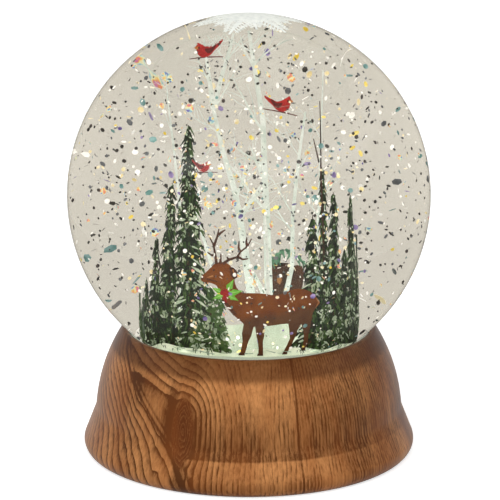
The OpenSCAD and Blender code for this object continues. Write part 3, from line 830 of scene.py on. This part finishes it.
def birch(rng, ink, bark, route, width, limbs):
    """A pale birch: a trunk along a route, darker bark marks, and limbs that fork."""
    line = [(at(angle), height) for angle, height in route]
    widths = tapered(line, width, 0.62)
    ink.strip(line, widths, 0.10)
    for _ in range(limbs):
        i, x, y = somewhere(rng, line)
        if y > TUBE_FOOT + 35:
            side = rng.choice((-1, 1))
            limb(rng, ink, (x, y), side * rng.uniform(0.3, 0.85), rng.uniform(9, 18), widths[i] * 0.5, 1)
    for _ in range(int(width * 5)):
        i, x, y = somewhere(rng, line)
        half = widths[i] * 0.28
        for lift in (0.08, 0.21):
            bark.strip([(x - half, y), (x + half * 0.2, y + 0.2)], [0.3, 0.12], lift)


def birch_wood(rng):
    ink, bark = Print(), Print(thickness=0.01)
    low = TUBE_FOOT + 0.6
    # Width at the foot, number of limbs, and the route as (angle, height) points. The first trunk forks
    routes = [(2.5, 8, [(178, low), (179.2, 75), (183, 90), (186.9, 102.5), (192.9, 114), (197.6, 126)]),
              (1.5, 4, [(197.6, 126), (199.5, 134), (201.5, 141), (203, 147)]),
              (1.5, 4, [(197.4, 126), (194, 134), (189, 143.5), (187.5, 147.5)]),
              (2.4, 9, [(170.5, low), (170.8, 73), (171.4, 94), (172.3, 105), (173.2, 122.6), (178, 139.8),
                        (180, 148)]),
              (1.8, 0, [(170.5, 71), (174, 75.5), (178, 80)]),
              (1.6, 6, [(164, low), (163.7, 73), (159.3, 82), (158.5, 96), (155, 112), (151, 126)]),
              (1.2, 6, [(214, low), (213, 80), (216, 100), (221, 118), (226, 132), (228, 140)]),
              (1.1, 6, [(148, low), (146, 84), (143, 104), (141, 124), (139, 140)]),
              (1.3, 5, [(190, low), (194, 76), (206, 96), (210, 112)]),
              (1.4, 4, [(11.5, 80), (11.3, 90), (10.9, 100), (9.8, 108), (8.6, 116)])]
    for width, limbs, route in routes:
        birch(rng, ink, bark, route, width, limbs)
    ink.inked("birches", "ink_birch", (206, 216, 212), (240, 246, 246), 0.32, 0.3, ["birch_art"])
    bark.inked("birch_bark", "ink_birch", (120, 140, 128), (160, 178, 166))


def snowbank(rng):
    """Drifts of snow along the foot of the scene, higher at the back."""
    near, far, shade = Print(), Print(), Print()
    count = int(2 * math.pi * TUBE_R / 2.0)

    def crest(k):
        turn = 2 * math.pi * k / count
        rise = 3.4 + 9.0 * max(0, -math.cos(turn))
        return FLOOR_Z + rise + 1.0 * math.sin(turn * 5) + 0.6 * math.sin(turn * 11 + 1)

    def in_front(k):
        return math.cos(2 * math.pi * k / count) > 0

    for k in range(count):
        x0, x1 = 2 * math.pi * TUBE_R * k / count, 2 * math.pi * TUBE_R * (k + 1) / count
        outline = [(x0, FLOOR_Z + 0.05), (x1, FLOOR_Z + 0.05), (x1, crest(k + 1)), (x0, crest(k))]
        drift, lift = (near, 0.5) if in_front(k + 0.5) else (far, -0.01)
        drift.solid(outline, [[0, 1, 2, 3]], lift)
        if rng.random() < 0.5:
            line = [(x0, crest(k) - rng.uniform(0.5, 2)), (x1 + 1.5, crest(k + 1) - rng.uniform(0.5, 2))]
            shade.strip(line, [0.15, 0.5], 0.56 if in_front(k) else 0.1)
    # The front drifts take paler ink and a stronger painted glow than those at the back
    near.inked("snowbank", "ink_snow", (206, 220, 196), (238, 246, 228), 0.52, 0.2, ["snowbank_art"])
    far.inked("far_snowbank", "ink_snow", (196, 206, 192), (226, 232, 218), 0.08, 0.3, ["snowbank_art"])
    shade.inked("snowbank_shade", "ink_snow", (156, 182, 164), (184, 204, 188), 0.1)


BODY = [(-16.8, 86.6), (-16.4, 87.8), (-14.8, 89.3), (-13.2, 90.9), (-11.9, 92.3), (-10.4, 93.0),
        (-8.2, 93.1), (-6.4, 92.2), (-5.5, 90.2), (-5.0, 87.6), (-4.2, 84.6), (-2.4, 82.7), (1, 82.4),
        (4.5, 82.2), (8.5, 81.5), (12, 82.0), (15.7, 83.2), (19.5, 82.8), (23.0, 81.0), (26, 77.4),
        (25.0, 76.2), (23.2, 74.0), (22.0, 70.6), (17, 69.9), (13, 70.6), (8, 70.1), (4, 69.9), (-0.6, 69.8),
        (-2.4, 71.6), (-5.4, 74.4), (-8.2, 78.0), (-9.8, 81.6), (-11.0, 84.6), (-13.2, 85.6), (-15.8, 85.8)]
LEGS = [[(-1.6, 72), (1.9, 71), (0.8, 66), (-0.2, 63.6), (-1.0, 60), (-1.6, 57.2), (-3.4, 57.2), (-2.8, 60),
         (-2.2, 63.8), (-2.4, 67)],
        [(2.0, 71.4), (5.4, 71.2), (5.3, 66), (4.9, 63.6), (5.0, 60), (5.1, 56.9), (3.3, 56.9), (3.4, 60),
         (3.1, 63.8), (2.6, 66)],
        [(13.6, 72), (18.8, 71), (17.4, 67.6), (16.6, 65), (15.2, 61.4), (13.7, 57.2), (12.0, 57.2),
         (13.4, 61), (14.6, 64.6), (14.2, 68)],
        [(18.2, 71.6), (23.0, 73), (22.4, 69), (21.9, 66.4), (21.8, 62.4), (20.9, 58.6), (19.3, 58.6),
         (20.1, 62.4), (20.0, 66), (19.2, 69)]]
ANTLERS = [[(-11.0, 92.4), (-11.5, 95.8), (-12.1, 99.0), (-14.0, 102.6)],
           [(-12.0, 98.6), (-10.9, 101.6), (-10.2, 104.7)],
           [(-10.8, 102.2), (-9.4, 103.6), (-8.0, 104.6)], [(-11.4, 95.4), (-12.8, 95.4), (-14.3, 96.4)],
           [(-9.7, 92.6), (-9.6, 94.2), (-9.5, 96.2)],
           [(-8.8, 92.6), (-6.7, 94.2), (-3.9, 95.2), (-2.9, 97.0), (-0.4, 99.1), (0.9, 101.7)],
           [(-2.9, 96.8), (-3.5, 98.6), (-3.3, 100.8)], [(-0.6, 99.0), (-0.9, 100.6), (-0.7, 102.2)],
           [(-3.7, 95.2), (-2.0, 94.4), (-0.2, 94.7)], [(-6.8, 94.0), (-7.4, 95.2)]]


def stag_ink():
    """Russet that fades to a greyer brown down the legs and along the belly, which slopes up to the rump."""
    material, tree, x, y, z = new_material("stag_ink")
    soft = noise(tree, x, y, z, 0.18, 3)
    fur = noise(tree, x, y, z, 0.9, 3, 0.6)
    coat = two_tone(tree, soft, paint(112, 52, 8), paint(150, 84, 22))
    under = two_tone(tree, soft, paint(86, 50, 26), paint(116, 76, 46))
    low = (z - x * 0.17 + (soft - 0.5) * 3).step(74.6, 71.2)
    colour = mix(tree, low * (z.step(68, 59) * -0.35 + 0.95), coat, under)
    colour = mix(tree, fur.step(0.45, 0.8) * 0.35, colour, paint(70, 34, 12))
    # A faint painted glow stands in for the lamp's light through the print
    principled(tree, {"Base Color": colour, "Roughness": 0.6, "Emission Color": colour,
                      "Emission Strength": 0.03, "Normal": bump(tree, fur, 0.03, 0.4)})
    return material


def stag():
    """The stag that stands at the front and looks left."""
    lift = 0.56
    body, shade, dark, pale = (Print() for _ in range(4))
    body.patch(smooth_closed(BODY), lift)
    for leg in LEGS:
        body.patch(leg, lift - 0.03)
    shade.patch([(-9.4, 80), (-7.4, 79), (-4, 74.6), (-5.2, 74)], lift + 0.06)
    shade.strip([(-15.2, 86.9), (-12.6, 86.6), (-10.6, 86.2)], [0.2, 0.7, 0.3], lift + 0.06)
    for tine in ANTLERS:
        dark.strip(tine, tapered(tine, 1.05, 0.65), lift + 0.02)
    ear = [(-6.6, 91.6), (-5.0, 91.4), (-3.9, 90.0), (-3.9, 88.0), (-5.0, 87.2), (-6.2, 88.8)]
    dark.patch(ear, lift + 0.1)
    # Eye and nose, then hooves
    for seed, x, y, tall in ((3, -12.0, 90.2, 0.7), (4, -16.2, 87.2, 0.9)):
        dark.blob(random.Random(seed), x, y, 0.9, tall, lift + 0.12)
    for x0, x1, z in ((-3.7, -1.5, 57.1), (2.9, 5.0, 56.8), (12.1, 14.0, 57.1), (19.3, 21.1, 58.5)):
        dark.patch([(x0, z), (x1, z), (x1 - 0.1, z + 1.2), (x0 + 0.2, z + 1.2)], lift + 0.1)
    # Muzzle, inside of the ear, and tail
    pale.strip([(-14.4, 87.4), (-12.2, 88.2)], [0.3, 0.6], lift + 0.12)
    pale.strip([(-5.4, 90.8), (-4.7, 88.6)], [0.5, 0.3], lift + 0.16)
    pale.strip([(24.2, 79.4), (25.6, 77.6), (24.2, 75.8)], [0.2, 0.6, 0.2], lift + 0.12)
    body.done("stag", stag_ink(), "ink_deer", "deer_art")
    shade.inked("stag_shade", "ink_deer", (84, 44, 24), (104, 60, 34), 0.02, 0.2)
    dark.inked("stag_antlers", "ink_deer", (66, 36, 22), (96, 56, 34))
    pale.inked("stag_lights", "ink_deer", (176, 112, 60), (206, 146, 92))


def doe():
    """The doe on the back of the tube, seen between the birches."""
    outline = [(170.6, 78.6), (170.7, 80.4), (169.9, 81.4), (169.5, 82.7), (168.3, 81.4), (165.8, 81.2),
               (162.9, 81.4), (161.4, 82.7), (161.0, 81.2), (160.0, 81.9), (157.0, 82.4), (154.4, 82.2),
               (153.4, 80.4), (154.0, 78.0), (155.4, 75.4), (156.4, 71.6), (163.0, 71.2), (169.4, 71.4),
               (169.5, 74.2), (169.9, 76.4)]
    ink, dark, pale, leafy = (Print() for _ in range(4))
    ink.patch([(at(angle), height) for angle, height in outline], 0.27)
    rng = random.Random(12)
    for _ in range(26):
        t = rng.random()
        height = 82.4 + 3.2 * math.sin(math.pi * min(1, t * 1.1)) + rng.uniform(-0.8, 0.8)
        x = at(169.5 - 18 * t)
        tip = (x + rng.uniform(-1.6, 1.6), height - rng.uniform(0.6, 2.0))
        leafy.strip([(x, height + 0.5), tip], [rng.uniform(0.7, 1.5), 0.2], rng.uniform(0.16, 0.22))
    for angle, height in ((167.8, 79.9), (163.6, 79.9), (165.7, 77.6)):
        dark.blob(random.Random(2), at(angle), height, 0.7, 0.6, 0.21)
    dark.strip([(at(163.2), 80.6), (at(163.4), 76.0), (at(163.6), 72.0)], [0.3, 0.7, 0.5], 0.21)
    muzzle = [(166.8, 79.0), (165.2, 79.2), (164.6, 78.2), (165.6, 77.0), (166.9, 77.6)]
    pale.patch([(at(angle), height) for angle, height in muzzle], 0.2)
    leafy.inked("doe_bough", "ink_doe", (30, 84, 62), (120, 170, 140), 0.02, 0.7)
    ink.inked("doe", "ink_doe", (60, 24, 6), (92, 44, 14), 0.0, 0.3, ["doe_art"])
    dark.inked("doe_shade", "ink_doe", (40, 22, 14), (60, 36, 22))
    pale.inked("doe_muzzle", "ink_doe", (168, 112, 66), (196, 140, 92))


def holly():
    """A holly sprig with a red bow at the stag's neck."""
    centre, height, lift = at(-14), 82.0, 0.8
    edge = [(0.6, 0), (1.5, 0.95), (2.3, 0.7), (3.1, 1.25), (4.2, 0.8), (5.4, 0.35)]
    leaf = edge + [(6.4, 0)] + [(x, -y) for x, y in edge[:0:-1]]
    green, vein, red = Print(), Print(), Print()
    for turn in (12, 62, 158, 205, -28):
        a = math.radians(turn)
        size = 0.95 if turn in (12, 62) else 0.8
        green.patch([(centre + (x * math.cos(a) - y * math.sin(a)) * size,
                      height + (x * math.sin(a) + y * math.cos(a)) * size) for x, y in leaf], lift)
        midrib = [polar(a, reach, (centre, height)) for reach in (1, 5.2 * size)]
        vein.strip(midrib, [0.3, 0.1], lift + 0.07)
    rng = random.Random(21)
    for x, y in ((-0.9, 0.4), (0.9, 0.1), (0, -1.0), (0.2, 1.0)):
        red.blob(rng, centre + x, height + y, 1.9, 1.9, lift + 0.12, rough=0.1)
    red.strip([(centre - 0.6, height - 1), (centre + 0.4, height - 3.2)], [0.8, 0.6], lift + 0.1)
    green.inked("holly_leaves", "ink_holly", (92, 176, 42), (140, 214, 84), 0.12, replaces=["holly_art"])
    vein.inked("holly_veins", "ink_holly", (176, 232, 130), (190, 240, 150), 0.1)
    red.inked("holly_berries", "ink_holly", (150, 20, 18), (190, 36, 28), 0.05)


def cardinals():
    """Three red birds on twigs."""
    body = [(-3.1, 1.3), (-2.8, 2.9), (-1.6, 2.2), (-0.2, 1.3), (1.4, 0.8), (3.2, 1.5), (5.2, 2.5),
            (4.2, 1.1), (2.6, -0.3), (1.2, -1.7), (-0.9, -2.0), (-2.5, -1.0)]
    wing = [(-0.6, 0.7), (1.2, 0.6), (3.2, 1.5), (2.0, -0.4), (0.5, -1.0)]
    red, dark, beak = Print(), Print(), Print()
    for angle, height, flip, size in ((-158.5, 143.3, -1, 0.95), (164.3, 127, 1, 0.9), (-29, 126, -1, 0.82)):
        middle = at(angle)

        def placed(points):
            return [(middle + flip * x * size, height + y * size) for x, y in points]

        for lift in (0.14, 0.5) if abs(angle) < 90 else (0.03, 0.5):
            red.patch(placed(smooth_closed(body, 3)), lift)
        for lift in (0.0, 0.57):
            dark.patch(placed(smooth_closed(wing, 3)), lift)
        for lift in (0.0, 0.57):
            dark.blob(random.Random(8), *placed([(-2.5, 1.5)])[0], 0.8, 0.8, lift)
            beak.patch(placed([(-2.8, 2.1), (-4.0, 1.3), (-2.8, 1.0)]), lift + 0.02)
        twig = [(middle - 5, height - 2.6), (middle, height - 2.0), (middle + 5.5, height - 1.4)]
        dark.strip(twig, [0.25, 0.35, 0.2], 0.1)
    red.inked("cardinals", "ink_cardinal", (168, 20, 24), (206, 44, 40), 0.12, replaces=["cardinal_art"])
    dark.inked("cardinal_wings", "ink_cardinal", (96, 18, 20), (120, 34, 30))
    beak.inked("cardinal_beaks", "ink_cardinal", (222, 130, 60), (238, 160, 84))


def make_art():
    rng = random.Random(17)
    birch_wood(rng)
    pine_wood(rng)
    snowbank(rng)
    stag()
    doe()
    holly()
    cardinals()


# ---- Glitter ----

FLAKES = 2800
FLAKE_T = 0.04


def foil(name, chips, glow, metallic, roughness, scale):
    """Glitter foil: colours that shift across each flake, and a glow that is a painted glint."""
    material, tree, x, y, z = new_material(name)
    stops = [(0.3 + 0.4 * i / (len(chips) - 1), paint(*chip)) for i, chip in enumerate(chips)]
    colour = ramp(tree, noise(tree, x, y, z, scale, 1), stops)
    principled(tree, {"Base Color": colour, "Metallic": metallic, "Roughness": roughness,
                      "Emission Color": colour, "Emission Strength": glow})
    return material


def flake(bm, rng, centre, radius):
    """A thin six-sided flake, cupped a little, facing any way."""
    axis = Vector([rng.gauss(0, 1) for _ in range(3)]).normalized()
    side = axis.orthogonal().normalized()
    across = axis.cross(side)
    rings = []
    for lift in (0, FLAKE_T):
        rim = []
        for i in range(6):
            a = math.pi / 3 * i
            p = centre + (side * math.cos(a) + across * math.sin(a)) * radius + axis * (lift + radius * 0.12)
            rim.append(bm.verts.new(p * MM))
        rings.append((bm.verts.new((centre + axis * lift) * MM), rim))
    for (hub, rim), reverse in zip(rings, (True, False)):
        for i in range(6):
            corners = [hub, rim[i], rim[(i + 1) % 6]]
            bm.faces.new(corners[::-1] if reverse else corners)
    for i in range(6):
        j = (i + 1) % 6
        bm.faces.new((rings[0][1][i], rings[0][1][j], rings[1][1][j], rings[1][1][i]))


def flake_place(rng, gathered):
    """Somewhere in the liquid, rarely inside the tube. Of gathered flakes, about half keep to the middle."""
    limit = GLOBE_R - GLOBE_WALL - 3.0
    while True:
        close = gathered and rng.random() < 0.55
        wide, top = (limit * 0.45, limit * 0.4) if close else (limit, limit)
        point = Vector((rng.uniform(-wide, wide), rng.uniform(-limit, limit), rng.uniform(-limit, top)))
        out = math.hypot(point.x, point.y)
        inside_tube = out < TUBE_R + 2.0 and point.z < TUBE_TOP - GLOBE_Z + 1.5
        near_wall = TUBE_R - 2.5 < out < TUBE_R + 2.0
        below_floor = point.z < FLOOR_Z - GLOBE_Z + 2
        if point.length > limit or below_floor or (inside_tube and (near_wall or rng.random() < 0.7)):
            continue
        return point + Vector((0, 0, GLOBE_Z))


def make_glitter():
    rng = random.Random(29)
    # The dark and grey kinds are painted reflections: mirror flakes that show only darkness. The glow of the
    # others is a painted glint.
    # Colour, share of the flakes, smallest and largest radius, glow, and the chips the foil shifts through
    kinds = [("dark", 36, 0.35, 0.75, 0.0, [(40, 40, 34), (92, 84, 84)]),
             ("grey", 14, 0.4, 1.0, 0.0, [(84, 88, 96), (146, 150, 160)]),
             ("silver", 22, 0.35, 0.9, 0.9, [(226, 224, 222), (255, 255, 255)]),
             ("cream", 13, 0.4, 0.85, 0.6, [(236, 216, 160), (252, 246, 226)]),
             ("gold", 4, 0.5, 1.05, 0.6, [(232, 200, 60), (250, 232, 140)]),
             ("violet", 3, 0.45, 1.1, 0.3, [(84, 74, 150), (186, 166, 222)]),
             ("teal", 4, 0.5, 1.2, 0.2, [(90, 140, 140), (160, 200, 206)]),
             ("rainbow", 6, 0.6, 1.35, 0.5, [(120, 110, 190), (150, 200, 220), (236, 244, 220),
                                             (250, 214, 130), (240, 150, 110), (216, 130, 180)])]
    total = sum(kind[1] for kind in kinds)
    for colour, share, small, large, glow, chips in kinds:
        bright = colour not in ("dark", "grey")
        metallic = 0.3 if bright else 0.0
        roughness = 0.6 if colour == "dark" else 0.35
        scale = 0.8 if colour == "rainbow" else 0.55
        material = foil("foil_" + colour, chips, glow, metallic, roughness, scale)
        bm = bmesh.new()
        for _ in range(round(FLAKES * share / total)):
            radius = small + (large - small) * rng.random() ** 2.0
            flake(bm, rng, flake_place(rng, bright), radius)
        piece("glitter_" + colour, bm, [material], ["glitter_flakes"], crease=20)


# ---- The snowflake on top ----

def decal_ink():
    material, tree, x, y, z = new_material("decal_print")
    worn = noise(tree, x, y, z, 0.5, 3)
    # A faint painted glow keeps the white print bright
    principled(tree, {"Base Color": two_tone(tree, worn, paint(204, 208, 202), paint(232, 234, 226)),
                      "Roughness": 0.5, "Emission Color": paint(250, 252, 244), "Emission Strength": 0.14,
                      "Normal": bump(tree, worn, 0.02, 0.4)})
    return material


def snowflake_arm(ink, turn, length, width, twigs, twig_length):
    """One arm, with pairs of twigs that shorten outwards and a pair of spurs on each twig."""
    ink.strip([(0, 0), polar(turn, length)], [width, width * 0.3], 0.04)
    for k in range(twigs):
        root = polar(turn, length * (0.22 + 0.66 * k / twigs))
        size = twig_length * (1 - 0.55 * k / twigs)
        for side in (-1, 1):
            b = turn + side * math.radians(48)
            ink.strip([root, polar(b, size, root)], [0.95, 0.3], 0.04)
            middle = polar(b, size * 0.6, root)
            for bend in (-0.7, 0.7):
                ink.strip([middle, polar(b + bend, size * 0.3, middle)], [0.6, 0.2], 0.04)


def make_decal():
    """A snowflake with six long spiky arms and six short ones, printed on the crown of the globe."""
    ink = Print(on_crown, DECAL_T - 0.08)
    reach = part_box("snowflake_decal")[1].x / MM * 0.995
    for k in range(6):
        snowflake_arm(ink, math.radians(10 + 60 * k), reach, 3.0, 8, 8.6)
        snowflake_arm(ink, math.radians(40 + 60 * k), reach * 0.8, 2.6, 7, 5.6)
    ink.patch([polar(math.radians(10 + 30 * k), reach * (0.5 if k % 2 else 0.36)) for k in range(12)], 0.03)
    ink.done("snowflake", decal_ink(), "decal_white", "snowflake_decal")


# ---- Materials of the carried-over CAD parts ----

def dress(nodes, material):
    """Gives a material to CAD nodes, whose names have spaces between them."""
    for node in nodes.split():
        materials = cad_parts[node].data.materials
        materials.clear()
        materials.append(material)


def dress_cad():
    # Nodes, paint chip, roughness, and where they aren't the usual ones the mottle, grain and relief
    plastics = [("bottom_cover battery_door", (96, 66, 46), 0.5),
                ("battery_case clamp_ring drive_rotor", (222, 222, 216), 0.5),
                ("board_parts switch_body", (34, 34, 36), 0.4),
                ("switch_knob", (58, 58, 62), 0.4, 3, 0.4, 0.05),
                ("rubber_feet", (44, 44, 46), 0.8, 4, 0.3, 0.05),
                ("plug_seal", (30, 30, 32), 0.6, 4, 0.4, 0.02),
                ("wiring", (160, 34, 28), 0.5, 2, 0.4, 0.01),
                ("battery_cells", (52, 58, 66), 0.3, 8, 0.6, 0.005),
                ("circuit_board", (24, 84, 48), 0.35, 3, 0.7, 0.02),
                ("led_ring_board", (224, 226, 222), 0.4, 4, 0.6, 0.01),
                ("impeller", (214, 226, 230), 0.35, 5, 0.6, 0.01)]
    # Nodes, paint chip, roughness, and width of the streaks
    screws = "cover_screws door_screw cradle_screws clamp_screws small_screws"
    metals = [(screws, (176, 178, 184), 0.28, 0.3),
              ("impeller_pin motor_shaft motor_bracket", (186, 190, 196), 0.34, 0.8),
              ("drive_magnets impeller_magnet", (74, 75, 80), 0.45, 0.5),
              ("motor", (168, 174, 184), 0.3, 1.2),
              ("battery_contacts", (206, 176, 104), 0.3, 0.4),
              ("battery_springs", (180, 182, 188), 0.25, 0.3)]
    # Nodes, paint chip, chip and strength of the glow, and sometimes speckle and relief
    lit = [("globe_plug", (226, 234, 228), (220, 240, 226), 0.15),
           ("globe_cradle", (228, 236, 230), (226, 246, 232), 0.12),
           ("leds", (246, 250, 240), (240, 255, 240), 1.5, 0.6, 0.02),
           ("snow_floor", (226, 236, 226), (226, 246, 230), 0.3, 1.0, 0.25)]
    for finish, parts in ((moulded, plastics), (metal, metals), (lit_plastic, lit)):
        for nodes, *how in parts:
            dress(nodes, finish(nodes.split()[0] + "_finish", *how))


# ---- Floor, light and camera ----

def looked_at(tree):
    """1 where the camera sees the studio, directly or through the globe, and 0 where it only sheds light."""
    path = add(tree, "ShaderNodeLightPath")
    return Num(tree, path.outputs["Is Camera Ray"]).op("MAXIMUM", path.outputs["Is Transmission Ray"])


def make_floor():
    half, cells = 8.0, 24
    bm = bmesh.new()
    bmesh.ops.create_grid(bm, x_segments=cells, y_segments=cells, size=half)
    mesh = bpy.data.meshes.new("floor")
    bm.to_mesh(mesh)
    bm.free()
    floor = new_object("floor", mesh)
    material, tree, x, y, z = new_material("pale_floor")
    tone = noise(tree, x, y, z, 0.004, 2)
    distance = (x * x + y * y).op("SQRT")
    principled(tree, {"Base Color": two_tone(tree, tone, darker(WHITE, 0.69), darker(WHITE, 0.71)),
                      "Roughness": 0.9, "Specular IOR Level": 0.0, "Emission Color": WHITE,
                      "Emission Strength": looked_at(tree) * (distance.step(600, 3000) * 0.07 + 0.65)})
    mesh.materials.append(material)


def make_world():
    """An even pale studio, with a soft unseen belt of light at mid height that is brightest in front."""
    world = bpy.data.worlds.new("studio")
    bpy.context.scene.world = world
    world.use_nodes = True
    tree = world.node_tree
    tree.nodes.clear()
    coordinates = add(tree, "ShaderNodeTexCoord")
    parts = add(tree, "ShaderNodeSeparateXYZ", {0: coordinates.outputs["Generated"]})
    away, rise = Num(tree, parts.outputs[1]), Num(tree, parts.outputs[2])
    belt = rise.between(0.34, 0.42, 0.50, 0.60) * (away.step(0.7, -0.9) * 0.8 + 0.2)
    shed = belt * 3.0 + 0.42
    back = add(tree, "ShaderNodeBackground",
               {"Color": WHITE, "Strength": shed + (shed * -1 + 1.16) * looked_at(tree)})
    add(tree, "ShaderNodeOutputWorld", {"Surface": back.outputs[0]})


def soft_light(name, place, target, width, height, watts, colour=(1, 1, 1)):
    """A soft area lamp aimed at a point, both in metres. It sheds light and isn't seen itself."""
    data = bpy.data.lights.new(name, "AREA")
    data.shape = "RECTANGLE"
    data.size, data.size_y = width, height
    data.energy = watts
    data.color = colour
    lamp = new_object(name, data)
    lamp.location = place
    lamp.rotation_euler = (Vector(target) - Vector(place)).to_track_quat("-Z", "Y").to_euler()
    lamp.visible_camera = False
    lamp.visible_transmission = False
    return lamp


def make_lights():
    key = soft_light("key", (-0.2, -1.0, 1.0), (0, 0, 0.05), 1.0, 0.7, 8.6)
    key.visible_glossy = False
    soft_light("snow_glow", (0, 0, (FLOOR_Z + 1.2) * MM), (0, 0, 1), 0.05, 0.05, 0.02, (0.92, 1.0, 0.95))


def make_camera():
    """From the front and a little above, as a product is shown."""
    distance, height, pitch = 1.225, 0.40926, 0.2584
    data = bpy.data.cameras.new("camera")
    data.lens = 219.87
    data.sensor_width = 36.0
    data.shift_x = 0.0022
    data.clip_start = 0.01
    camera = new_object("camera", data)
    camera.location = (0, -distance, height)
    camera.rotation_euler = (math.pi / 2 - pitch, 0, 0)
    bpy.context.scene.camera = camera


make_camera()
make_base()
make_globe()
make_liquid()
make_tube()
make_art()
make_glitter()
make_decal()
dress_cad()
make_floor()
make_world()
make_lights()
bpy.context.scene.view_settings.view_transform = "Standard"
bpy.context.scene.cycles.transparent_max_bounces = 32
bpy.context.scene.cycles.transmission_bounces = 16
